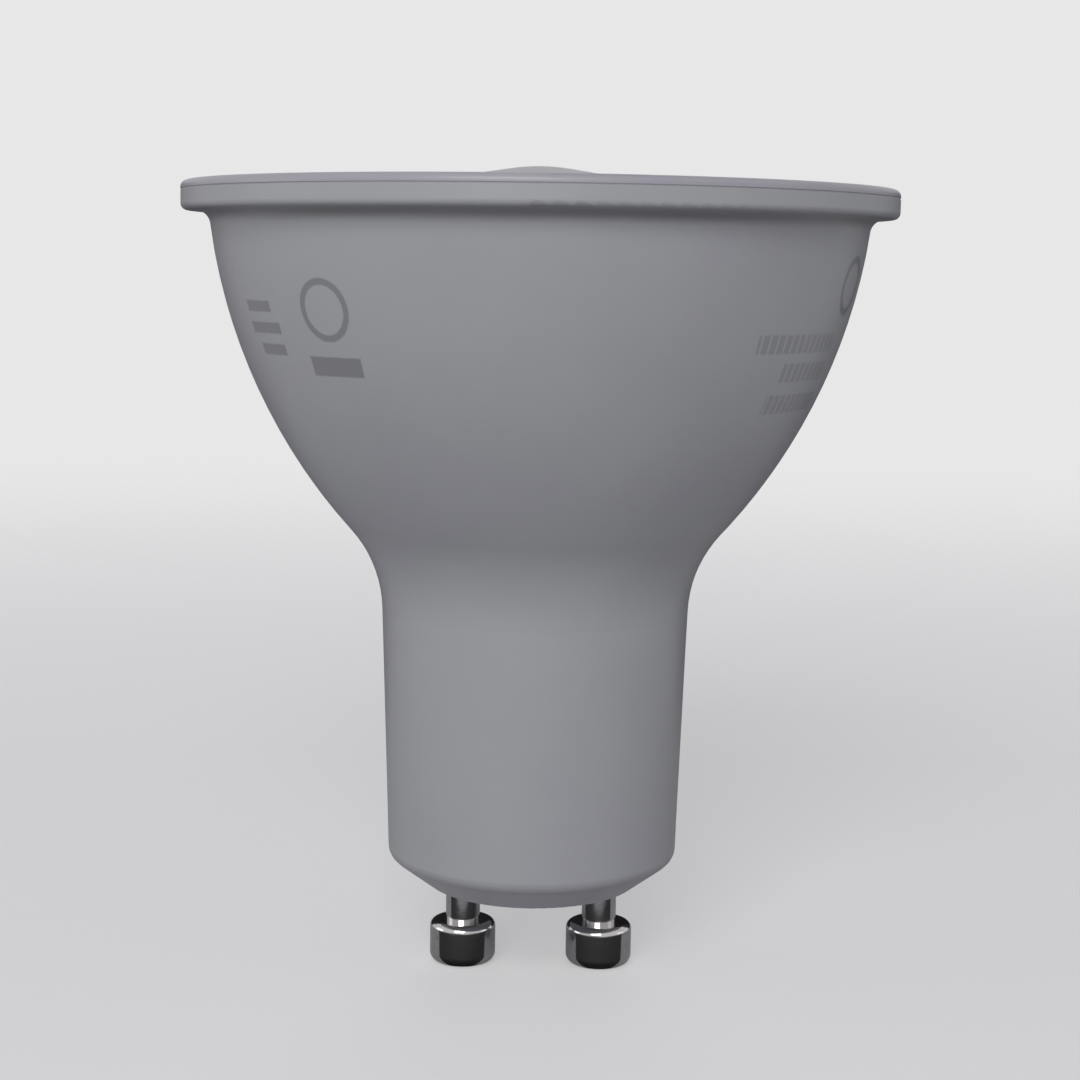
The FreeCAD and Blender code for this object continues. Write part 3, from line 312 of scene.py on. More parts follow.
def grid_mesh(name, points, closed_round=False, capped=False):
    """A mesh of four-sided faces over an (n, m, 3) grid of points.

    Its second direction may close on itself, and one face may cap each end of such a tube."""
    rows, columns = points.shape[:2]
    row = np.arange(rows - 1)[:, None] * columns
    column = np.arange(columns if closed_round else columns - 1)[None, :]
    after = (column + 1) % columns
    faces = np.stack([row + column, row + after, row + columns + after, row + columns + column], -1)
    faces = faces.reshape(-1, 4).tolist()
    if capped:
        first = np.arange(columns)[::-1].tolist()
        last = (np.arange(columns) + (rows - 1) * columns).tolist()
        faces += [first, last]
    mesh = bpy.data.meshes.new(name)
    mesh.from_pydata((points.reshape(-1, 3) * MM).tolist(), [], faces)
    mesh.polygons.foreach_set("use_smooth", np.ones(len(mesh.polygons), dtype=bool))
    mesh.update()
    return mesh


def tube(path, radius, sides):
    """The skin of a wire: at each point of the path, a circle square to the path's direction.

    A point is path + radius * (cos u * side + sin u * up), where side is the direction's cross
    product with a fixed axis and up is square to both."""
    direction = np.gradient(path, axis=0)
    direction /= np.linalg.norm(direction, axis=1, keepdims=True)
    side = np.cross(direction, (0.0, 1.0, 0.0))
    side /= np.linalg.norm(side, axis=1, keepdims=True)
    up = np.cross(side, direction)
    round_wire = np.linspace(0, 2 * np.pi, sides, endpoint=False)
    circle = (
        np.cos(round_wire)[None, :, None] * side[:, None, :]
        + np.sin(round_wire)[None, :, None] * up[:, None, :]
    )
    return path[:, None, :] + radius * circle


def new_piece(name, mesh, slot, finish, *replaced):
    """Adds a piece that rides on the lamp, with its material; the slot given is not used."""
    piece = bpy.data.objects.new(name, mesh)
    bpy.context.scene.collection.objects.link(piece)
    mesh.materials.append(finish.material)
    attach(piece, "root")
    if replaced:
        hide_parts(*replaced)
    return piece


class BulbHousingSettings(bpy.types.PropertyGroup):
    colour: FloatVectorProperty(
        name="Colour", description="Colour of the moulded plastic", subtype="COLOR",
        default=(0.322, 0.327, 0.336), min=0.0, max=1.0)
    tint: FloatVectorProperty(
        name="Tint", description="Colour of its cooler clouds", subtype="COLOR",
        default=(0.306, 0.308, 0.327), min=0.0, max=1.0)
    roughness: FloatProperty(
        name="Roughness", description="Roughness of the satin skin", subtype="FACTOR",
        default=0.42, min=0.0, max=1.0)
    grain: FloatProperty(
        name="Grain", description="Size of the mould's fine grain in millimetres",
        default=0.22, min=0.05)
    grain_depth: FloatProperty(
        name="Grain depth", description="Depth of that grain in millimetres",
        default=0.010, min=0.0)
    ink: FloatProperty(
        name="Ink", description="How much the printing darkens the plastic", subtype="FACTOR",
        default=0.46, min=0.0, max=1.0)


class BulbCoverSettings(bpy.types.PropertyGroup):
    colour: FloatVectorProperty(
        name="Colour", description="Colour of the milky cover", subtype="COLOR",
        default=(0.335, 0.33, 0.36), min=0.0, max=1.0)
    roughness: FloatProperty(
        name="Roughness", description="Roughness of the cover", subtype="FACTOR",
        default=0.36, min=0.0, max=1.0)


class BulbPinSettings(bpy.types.PropertyGroup):
    colour: FloatVectorProperty(
        name="Colour", description="Colour of the nickel plate", subtype="COLOR",
        default=(0.56, 0.545, 0.545), min=0.0, max=1.0)
    roughness: FloatProperty(
        name="Roughness", description="Roughness of the plate", subtype="FACTOR",
        default=0.13, min=0.0, max=1.0)
    line_height: FloatProperty(
        name="Turning lines", description="Height of the turning lines in millimetres",
        default=0.12, min=0.01)


class BulbInsideSettings(bpy.types.PropertyGroup):
    laminate: FloatVectorProperty(
        name="Board", description="Colour of the driver board's coat", subtype="COLOR",
        default=(0.030, 0.135, 0.050), min=0.0, max=1.0)
    phosphor: FloatVectorProperty(
        name="Phosphor", description="Colour of the light-emitting windows", subtype="COLOR",
        default=(0.86, 0.62, 0.10), min=0.0, max=1.0)
    wire_turns: IntProperty(
        name="Turns", description="Turns of wire that show on the choke", default=15, min=4, max=40)
    wire_thickness: FloatProperty(
        name="Wire thickness", description="Thickness of the choke's wire in millimetres",
        default=0.34, min=0.1, max=0.5)


class BulbStageSettings(bpy.types.PropertyGroup):
    floor: FloatVectorProperty(
        name="Floor", description="Colour of the studio floor and background", subtype="COLOR",
        default=(0.80, 0.80, 0.805), min=0.0, max=1.0)
    bounce: FloatVectorProperty(
        name="Bounce", description="Colour of the floor to light that falls back on the lamp",
        subtype="COLOR", default=(0.44, 0.44, 0.46), min=0.0, max=1.0)
    near_bounce: FloatVectorProperty(
        name="Near bounce", description="The same close to the base, under the foot's bevel",
        subtype="COLOR", default=(0.85, 0.85, 0.87), min=0.0, max=1.0)
    sky: FloatProperty(
        name="Sky", description="Light from all round", default=0.30, min=0.0)
    key_power: FloatProperty(
        name="Key light", description="Power of the soft light above the camera in watts",
        default=2.3, min=0.0)
    side_power: FloatProperty(
        name="Side light", description="Power of the weaker lights at the sides in watts",
        default=0.33, min=0.0)
    lens: FloatProperty(
        name="Lens", description="Focal length of the camera", unit="CAMERA",
        default=69.86, min=1.0)


class BULB_OT_finish_housing(bpy.types.Operator):
    """Gives the housing its satin moulded plastic and the plain printed fields on the bowl"""
    bl_idname = "bulb.finish_housing"
    bl_label = "Finish the Housing"

    def execute(self, context):
        settings = context.scene.bulb_housing
        finish = Finish("housing_plastic", specular_ior_level=0.45)
        clouds = finish.noise(finish.place, 14.0, detail=3.0)
        grain = finish.noise(finish.place, settings.grain, detail=1.0)
        wipes = finish.noise(finish.stretched(9.0, 9.0, 1.6), 1.0, detail=4.0, distortion=0.6)
        plastic = finish.blend(finish.step(clouds, 0.35, 0.65), settings.colour, settings.tint)
        # Painted shade: the corner under the rim, and more faintly the bend of the foot, are
        # darkened in uneven streaks
        corner = finish.step(abs(finish.z - UNDER_RIM), 0.6, 0.0)
        corner = finish.largest(corner, finish.step(abs(finish.z - FOOT_BEND), 0.7, 0.0) * 0.4)
        plastic = finish.blend(corner * (0.35 + 0.4 * wipes), plastic, (0.16, 0.155, 0.16))
        # Only the bowl's outer skin is printed. Its radius at a height is the other leg of a right
        # triangle with the arc's radius, less the way from the axis to the arc's centre.
        leg = finish.math("SQRT", BOWL_ARC ** 2 - (finish.z - BOWL_ARC_HEIGHT) ** 2.0)
        skin = leg - BOWL_ARC_BEYOND
        ink = self.printing(finish) * finish.step(finish.radius() - skin, -0.6, -0.5)
        plastic = finish.blend(ink * settings.ink, plastic, (0.035, 0.035, 0.042))
        roughness = settings.roughness + 0.10 * (wipes - 0.5) + 0.06 * (grain - 0.5)
        finish.feed(base_color=plastic, roughness=roughness - 0.04 * ink)
        finish.bump(grain + 0.5 * clouds, settings.grain_depth, strength=0.35,
                    Normal=finish.rounded_edge(EDGE_RADIUS, RIM_FOOT, -1))
        finish.paint("housing")
        return {"FINISHED"}

    def printing(self, finish):
        """One where the bowl is printed, from each mark's distance along and up the bowl."""
        turned = finish.turned()
        uneven = 0.05 * (finish.noise(finish.place, 0.4) - 0.5)

        def away(angle, height):
            return (turned - math.radians(angle)) * PRINT_RADIUS, finish.z - height

        marks = []
        for angle, height, half_length, half_height, dashed in PRINTED_BARS:
            along, up = away(angle, height)
            outside = finish.largest(abs(along) - half_length, abs(up) - half_height)
            mark = finish.step(outside + uneven, INK_EDGE, -INK_EDGE)
            if dashed:
                gap = finish.waves(along + 0.2 * height, 0.40)
                mark = mark * finish.step(gap, 0.06, 0.14) * 0.60
            marks.append(mark)
        for angle, height, radius, half_line in PRINTED_RINGS:
            off_line = abs(finish.length(*away(angle, height)) - radius)
            marks.append(finish.step(
                off_line + uneven, half_line + INK_EDGE, half_line - INK_EDGE))
        return finish.largest(*marks)


class BULB_OT_finish_cover(bpy.types.Operator):
    """Gives the cover its milky satin plastic"""
    bl_idname = "bulb.finish_cover"
    bl_label = "Finish the Cover"

    def execute(self, context):
        settings = context.scene.bulb_cover
        finish = Finish("milky_cover", specular_ior_level=0.4)
        clouds = finish.noise(finish.place, 9.0)
        grain = finish.noise(finish.place, 0.16, detail=1.0)
        # Streaks that run outwards, as the plastic flowed in the mould
        flow = finish.noise(finish.join(finish.radius() / 3.0, finish.turned() * 2.0, 0.0), 1.0)
        milky = finish.blend(
            finish.step(clouds, 0.3, 0.7), settings.colour, (0.315, 0.305, 0.345))
        milky = finish.blend(0.25 * flow, milky, (0.36, 0.355, 0.38))
        roughness = settings.roughness + 0.08 * (grain - 0.5) + 0.08 * (flow - 0.5)
        finish.feed(base_color=milky, roughness=roughness)
        finish.bump(grain, 0.006, strength=0.3,
                    Normal=finish.rounded_edge(EDGE_RADIUS, RIM_TOP, 1))
        finish.paint("cover_lens")
        return {"FINISHED"}


class BULB_OT_finish_pins(bpy.types.Operator):
    """Gives the two contact pins their bright nickel plate with fine turning lines"""
    bl_idname = "bulb.finish_pins"
    bl_label = "Finish the Pins"

    def execute(self, context):
        settings = context.scene.bulb_pins
        finish = Finish("nickel_plate", metallic=1.0)
        lines = finish.noise(
            finish.join(0.0, 0.0, finish.z / settings.line_height), 1.0, detail=3.0)
        rubs = finish.noise(finish.stretched(0.9, 0.9, 0.35), 1.0, detail=4.0, roughness=0.6)
        worn = finish.step(rubs, 0.52, 0.72)
        plate = finish.blend(worn, settings.colour, (0.47, 0.45, 0.44))
        # The heads' lower edges, which turn in the holder, are rubbed
        foot = finish.step(finish.z, FLOOR_HEIGHT + 0.9, FLOOR_HEIGHT) * rubs
        plate = finish.blend(foot, plate, (0.40, 0.385, 0.375))
        roughness = settings.roughness + 0.08 * (lines - 0.5) + 0.10 * worn + 0.12 * foot
        finish.feed(base_color=plate, roughness=roughness)
        finish.bump(lines + 0.3 * rubs, 0.004, strength=0.4)
        finish.paint("pin_left", "pin_right")
        return {"FINISHED"}


class BULB_OT_finish_heat_parts(bpy.types.Operator):
    """Finishes the heat sink, the thermal pad, the screws and the bush in the middle"""
    bl_idname = "bulb.finish_heat_parts"
    bl_label = "Finish the Heat Parts"

    def execute(self, context):
        sheet = Finish("aluminium_sheet", metallic=1.0)
        drawn = sheet.noise(
            sheet.join(sheet.radius() / 0.25, sheet.turned() * 0.6, sheet.z / 2.5), 1.0,
            detail=4.0)
        handled = sheet.noise(sheet.place, 5.0, detail=4.0)
        sheet.feed(
            base_color=sheet.blend(sheet.step(handled, 0.4, 0.7), ALUMINIUM, DULL_ALUMINIUM),
            roughness=0.30 + 0.16 * (drawn - 0.5) + 0.14 * (handled - 0.5),
        )
        sheet.bump(drawn, 0.006, strength=0.4)
        sheet.paint("heat_sink")

        pad = Finish("pad_silicone", roughness=0.8)
        weave = pad.waves(pad.x, 0.35) + pad.waves(pad.y, 0.35)
        mottled = pad.noise(pad.place, 1.2, detail=3.0)
        pad.feed(base_color=pad.blend(mottled, (0.24, 0.31, 0.38), (0.31, 0.37, 0.43)))
        pad.bump(weave, 0.05, strength=0.5)
        pad.paint("thermal_pad")

        zinc = Finish("zinc_steel", metallic=1.0)
        bloom = zinc.noise(zinc.place, 0.8, detail=3.0)
        rolled = zinc.noise(zinc.stretched(2.0, 2.0, 0.08), 1.0)
        zinc.feed(
            base_color=zinc.blend(bloom, (0.52, 0.53, 0.56), (0.58, 0.55, 0.46)),
            roughness=0.24 + 0.2 * (bloom - 0.5),
        )
        zinc.bump(rolled, 0.004, strength=0.4)
        zinc.paint("board_screws")

        bush = Finish("bush_plastic")
        grain, clouds = bush.noise(bush.place, 0.15), bush.noise(bush.place, 1.5)
        bush.feed(
            base_color=bush.blend(clouds, (0.030, 0.030, 0.034), (0.045, 0.045, 0.05)),
            roughness=0.55 + 0.2 * (grain - 0.5),
        )
        bush.bump(grain, 0.01, strength=0.4)
        bush.paint("insulating_bush")
        return {"FINISHED"}


class BULB_OT_finish_led_board(bpy.types.Operator):
    """Finishes the white-coated metal board and the eight light-emitting packages on it"""
    bl_idname = "bulb.finish_led_board"
    bl_label = "Finish the LED Board"

    def execute(self, context):
        settings = context.scene.bulb_inside
        coat = Finish("led_board_coat")
        radius, turned = coat.radius(), coat.turned()
        # Copper under the coat: one broad ring, cut between the packages, and a ring at the edge
        cut = coat.step(abs(coat.waves(turned, math.pi / 8) - math.pi / 16), 0.03, 0.05)
        ring = coat.step(abs(radius - LED_CIRCLE), 2.5, 2.4) * cut
        edge = coat.step(abs(radius - EDGE_TRACK), 0.5, 0.45)
        copper = coat.largest(ring, edge)
        face = coat.step(coat.z, LED_BOARD_TOP - 0.10, LED_BOARD_TOP - 0.02)
        white = coat.blend(copper, (0.74, 0.74, 0.70), (0.80, 0.79, 0.74))
        brushed = coat.noise(
            coat.join(radius / 2.0, turned * 3.0, coat.z / 0.1), 1.0, detail=3.0)
        metal = coat.blend(brushed, DULL_ALUMINIUM, ALUMINIUM)
        coat.feed(
            base_color=coat.blend(face, metal, white),
            metallic=1.0 - face,
            roughness=0.36 - 0.1 * face + 0.1 * (brushed - 0.5),
        )
        coat.bump(copper * face + 0.1 * brushed, 0.035, strength=0.6)
        coat.paint("led_board")

        # One package stands at each step of 45 degrees, so one folded angle serves them all
        led = Finish("led_package", coat_weight=0.2)
        radius, turned = led.radius(), led.turned()
        along = (led.waves(turned, math.pi / 4) - math.pi / 8) * LED_CIRCLE
        off_centre = led.length(along, radius - LED_CIRCLE)
        upper = led.step(led.z, LED_TOP - 0.45, LED_TOP - 0.35)
        window = led.step(off_centre, 1.24, 1.16) * upper
        specks = led.noise(led.place, 0.09, detail=1.0)
        phosphor = led.blend(specks, settings.phosphor, (0.93, 0.74, 0.22))
        package = led.blend(led.noise(led.place, 0.5), (0.78, 0.77, 0.72), (0.84, 0.83, 0.79))
        metal_foot = led.step(led.z, LED_BOARD_TOP + 0.16, LED_BOARD_TOP + 0.13)
        package = led.blend(metal_foot, package, (0.60, 0.58, 0.52))
        led.feed(
            base_color=led.blend(window, package, phosphor),
            roughness=0.34 + 0.22 * window + 0.1 * (specks - 0.5),
        )
        led.bump(specks * window, 0.01, strength=0.4)
        led.paint(*[f"led_{number}" for number in range(1, 9)])
        return {"FINISHED"}


class BULB_OT_finish_driver_board(bpy.types.Operator):
    """Finishes the green board with its tracks and pads, and the tinned leads"""
    bl_idname = "bulb.finish_driver_board"
    bl_label = "Finish the Driver Board"

    def execute(self, context):
        settings = context.scene.bulb_inside
        board = Finish("board_laminate")
        x, z = board.x, board.z
        # Tracks run up the board. Noise that is even in wide cells says where a track jogs
        # sideways and where a rung crosses. Pads stand in rows, and a border is left bare.
        cell = board.join(board.math("SNAP", x, 2.0), 0.0, board.math("SNAP", z, 4.0))
        cells = board.noise(cell, 1.7)
        jog = 2.0 * board.math("ROUND", cells)
        track = board.step(board.waves(x + jog, 1.0), 0.62, 0.56)
        rung = board.step(abs(board.waves(z, 4.0) - 2.0), 0.42, 0.36)
        copper = board.largest(track, rung * board.step(cells, 0.50, 0.52))
        off_pad = board.length(board.waves(x, 2.0) - 1.0, board.waves(z, 3.0) - 1.5)
        pad = board.step(off_pad, 0.62, 0.56)
        off_side = BOARD_HALF_WIDTH - abs(x)
        off_end = BOARD_HALF_HEIGHT - abs(z - BOARD_MIDDLE)
        inside = board.step(off_side, 0.7, 0.9) * board.step(off_end, 0.75, 0.95)
        copper, pad = copper * inside, pad * inside
        cloth = board.waves(x, 0.25) + board.waves(z, 0.25)
        coat = board.blend(0.35 * cloth, settings.laminate, (0.05, 0.19, 0.08))
        coat = board.blend(copper, coat, (0.075, 0.255, 0.105))
        coat = board.blend(pad, coat, (0.62, 0.60, 0.55))
        faces = board.step(abs(board.y - (BOARD_FRONT + BOARD_BACK) / 2), 0.55, 0.58)
        fibres = board.noise(board.place, 0.2)
        cut_edge = board.blend(fibres, (0.42, 0.40, 0.24), (0.50, 0.47, 0.30))
        board.feed(
            base_color=board.blend(faces, cut_edge, coat),
            roughness=0.62 - 0.30 * faces + 0.05 * (cloth - 0.25),
            metallic=pad * faces,
        )
        board.bump((copper + pad) * faces + 0.2 * cloth, 0.035, strength=0.6)
        board.paint("driver_board")

        tinned = Finish("tinned_brass", metallic=1.0)
        smears = tinned.noise(tinned.stretched(0.5, 0.5, 2.0), 1.0, detail=4.0)
        tinned.feed(
            base_color=tinned.blend(smears, TINNED, SMEARED),
            roughness=0.26 + 0.25 * (smears - 0.5),
        )
        tinned.bump(smears, 0.008, strength=0.4)
        tinned.paint("pin_lead", "output_pin_left", "output_pin_right")
        return {"FINISHED"}


class BULB_OT_finish_driver_parts(bpy.types.Operator):
    """Finishes the fusible resistor, the capacitors, the drum core and the small packages"""
    bl_idname = "bulb.finish_driver_parts"
    bl_label = "Finish the Driver Parts"

    def execute(self, context):
        self.fusible_resistor()
        self.film_capacitor()
        self.drum_core()
        self.can()
        self.black_packages()
        self.ceramic_chip()
        return {"FINISHED"}

    def leads(self, finish, lead, body, body_roughness):
        """Mixes bare tinned metal where lead is one with a body's colour and roughness."""
        smears = finish.noise(finish.place, 0.6, detail=3.0)
        metal = finish.blend(smears, TINNED, SMEARED)
        finish.feed(
            base_color=finish.blend(lead, body, metal),
            metallic=lead,
            roughness=lead * (0.24 + 0.15 * smears) + (1.0 - lead) * body_roughness,
        )

    def fusible_resistor(self):
        coat = Finish("resistor_coat")
        lead = coat.step(coat.radius(FUSE_X), 0.5, 0.45)
        clouds = coat.noise(coat.place, 0.5, detail=3.0)
        body = coat.blend(clouds, (0.11, 0.22, 0.34), (0.14, 0.26, 0.38))
        for height, colour in (
            (3.9, (0.30, 0.10, 0.03)),
            (5.1, (0.02, 0.02, 0.02)),
            (6.3, (0.35, 0.28, 0.22)),
            (8.4, (0.55, 0.38, 0.10)),
        ):
            body = coat.blend(coat.step(abs(coat.z - height), 0.34, 0.30), body, colour)
        self.leads(coat, lead, body, 0.5)
        coat.bump(coat.noise(coat.place, 0.35), 0.03, strength=0.5)
        coat.paint("fusible_resistor")

    def film_capacitor(self):
        box = Finish("film_box", coat_weight=0.15)
        grain, clouds = box.noise(box.place, 0.2), box.noise(box.place, 2.0, detail=3.0)
        box.feed(
            base_color=box.blend(clouds, (0.42, 0.035, 0.018), (0.50, 0.05, 0.025)),
            roughness=0.34 + 0.12 * (grain - 0.5),
        )
        box.bump(grain, 0.015, strength=0.4)
        box.paint("film_capacitor")

    def drum_core(self):
        core = Finish("ferrite")
        pores = core.noise(core.place, 0.12, detail=3.0, roughness=0.7)
        core.feed(
            base_color=core.blend(pores, (0.016, 0.016, 0.018), (0.045, 0.044, 0.046)),
            roughness=0.62 + 0.2 * (pores - 0.5),
        )
        core.bump(pores, 0.03, strength=0.5)
        core.paint("choke_core")

    def can(self):
        can = Finish("can_sleeve", coat_weight=0.3)
        out = can.radius(CAN_X, CAN_Y)
        turned = can.math("ARCTAN2", can.x - CAN_X, CAN_Y - can.y)
        top = can.step(can.z, CAN_TOP - 0.12, CAN_TOP - 0.06) * can.step(out, 3.35, 3.3)
        foot = can.step(can.z, CAN_FOOT + 0.05, CAN_FOOT - 0.02)
        # A pale stripe with dark blocks down the sleeve marks the negative side
        off_stripe = abs(turned - 0.9)
        stripe = can.step(off_stripe, 0.36, 0.33)
        block = can.step(off_stripe, 0.12, 0.10) * can.step(can.waves(can.z, 1.1), 0.45, 0.55)
        clouds = can.noise(can.place, 1.5, detail=3.0)
        sleeve = can.blend(clouds, SLEEVE_BLUE, (0.018, 0.023, 0.060))
        sleeve = can.blend(stripe, sleeve, (0.50, 0.51, 0.54))
        sleeve = can.blend(stripe * block, sleeve, SLEEVE_BLUE)
        # Scored lines from the middle let the top open under pressure
        off_score = abs(can.waves(turned, math.pi / 3) - math.pi / 6) * out
        score = can.step(off_score, 0.10, 0.06) * can.step(out, 2.7, 2.6)
        brushed = can.noise(can.place, 0.5, detail=3.0)
        aluminium = can.blend(score, (0.62, 0.62, 0.63), (0.28, 0.28, 0.29))
        colour = can.blend(top, sleeve, aluminium)
        colour = can.blend(foot * can.step(out, 0.4, 0.5), colour, (0.02, 0.02, 0.02))
        lead = foot * can.step(out, 2.2, 2.1) * can.step(can.z, CAN_FOOT, CAN_FOOT - 0.05)
        can.feed(
            base_color=can.blend(lead, colour, (0.58, 0.57, 0.54)),
            metallic=can.largest(top, lead),
            roughness=0.32 + 0.10 * (brushed - 0.5) + 0.25 * foot,
        )
        can.bump(brushed * 0.3 - score * top, 0.05, strength=0.5)
        can.paint("electrolytic_capacitor")

    def black_packages(self):
        epoxy = Finish("black_epoxy")
        grain = epoxy.noise(epoxy.place, 0.10)
        body = epoxy.blend(grain, (0.012, 0.012, 0.013), (0.028, 0.028, 0.030))
        # The rectifier's and the chip's leads stand out past their bodies, the sense resistor
        # has metal caps, and the diode has a pale band
        z, off_middle = epoxy.z, abs(epoxy.x)
        rectifier = epoxy.step(z, RECTIFIER_TOP + 0.3, RECTIFIER_TOP + 0.2)
        above_foot = epoxy.step(z, DRIVER_CHIP_FOOT - 0.35, DRIVER_CHIP_FOOT - 0.25)
        below_top = epoxy.step(z, DRIVER_CHIP_TOP + 0.75, DRIVER_CHIP_TOP + 0.65)
        leads = epoxy.largest(rectifier, above_foot * below_top)
        leads = leads * epoxy.step(off_middle, LEADS_START - 0.03, LEADS_START)
        caps = epoxy.step(abs(z - SENSE_MIDDLE), 1.2, 1.1)
        caps = caps * epoxy.step(off_middle, CAPS_START - 0.02, CAPS_START + 0.02)
        band = epoxy.step(z, DIODE_FOOT - 0.7, DIODE_FOOT - 0.6)
        band = band * epoxy.step(abs(epoxy.x + 1.45), 0.34, 0.30)
        body = epoxy.blend(band, body, (0.42, 0.42, 0.43))
        self.leads(epoxy, epoxy.largest(leads, caps), body, 0.55)
        epoxy.bump(grain, 0.02, strength=0.4)
        epoxy.paint("driver_chip", "bridge_rectifier", "catch_diode", "sense_resistor")

    def ceramic_chip(self):
        ceramic = Finish("ceramic_tan")
        fired = ceramic.noise(ceramic.place, 0.2, detail=3.0)
        body = ceramic.blend(fired, (0.34, 0.22, 0.12), (0.42, 0.28, 0.16))
        caps = ceramic.step(abs(ceramic.x), CAPS_START - 0.02, CAPS_START + 0.02)
        self.leads(ceramic, caps, body, 0.45)
        ceramic.bump(fired, 0.015, strength=0.4)
        ceramic.paint("ceramic_capacitor")


class BULB_OT_wind_choke(bpy.types.Operator):
    """Winds the choke's drum with turns of enamelled copper wire"""
    bl_idname = "bulb.wind_choke"
    bl_label = "Wind the Choke"

    def execute(self, context):
        settings = context.scene.bulb_inside
        low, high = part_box("choke_winding")
        low, high = np.array(low) / MM, np.array(high) / MM
        radius = settings.wire_thickness / 2
        outer = (high[0] - low[0]) / 2 - radius
        finish = Finish("enamelled_wire", metallic=1.0, coat_weight=0.6, coat_roughness=0.12)
        tone = finish.noise(finish.stretched(1.0, 0.3, 1.0), 0.8, detail=3.0)
        finish.feed(
            base_color=finish.blend(tone, (0.60, 0.20, 0.06), (0.72, 0.30, 0.10)),
            roughness=0.24 + 0.12 * (tone - 0.5),
        )
        finish.paint("choke_winding")
        # Two layers: the helix goes out over the outer circle and comes back just under it.
        # A point of the path is the drum's axis plus the circle at the turn's angle, and it
        # moves along Y in proportion to that angle.
        start, end = low[1] + radius + 0.02, high[1] - radius - 0.02
        turns = settings.wire_turns
        sweep = np.linspace(0.0, 2 * np.pi * turns, turns * 28 + 1)
        share = sweep / sweep[-1]
        layers = []
        for depth, run in ((0.0, share), (settings.wire_thickness * 0.9, 1 - share)):
            circle = outer - depth
            layers.append(np.stack([
                CHOKE_X + circle * np.cos(sweep),
                start + (end - start) * run,
                CHOKE_Z + circle * np.sin(sweep),
            ], -1))
        path = np.concatenate([layers[0], layers[1][1:]])
        mesh = grid_mesh("choke_wire", tube(path, radius, 8), closed_round=True, capped=True)
        new_piece("choke_wire", mesh, "enamelled_wire", finish, "choke_winding")
        return {"FINISHED"}


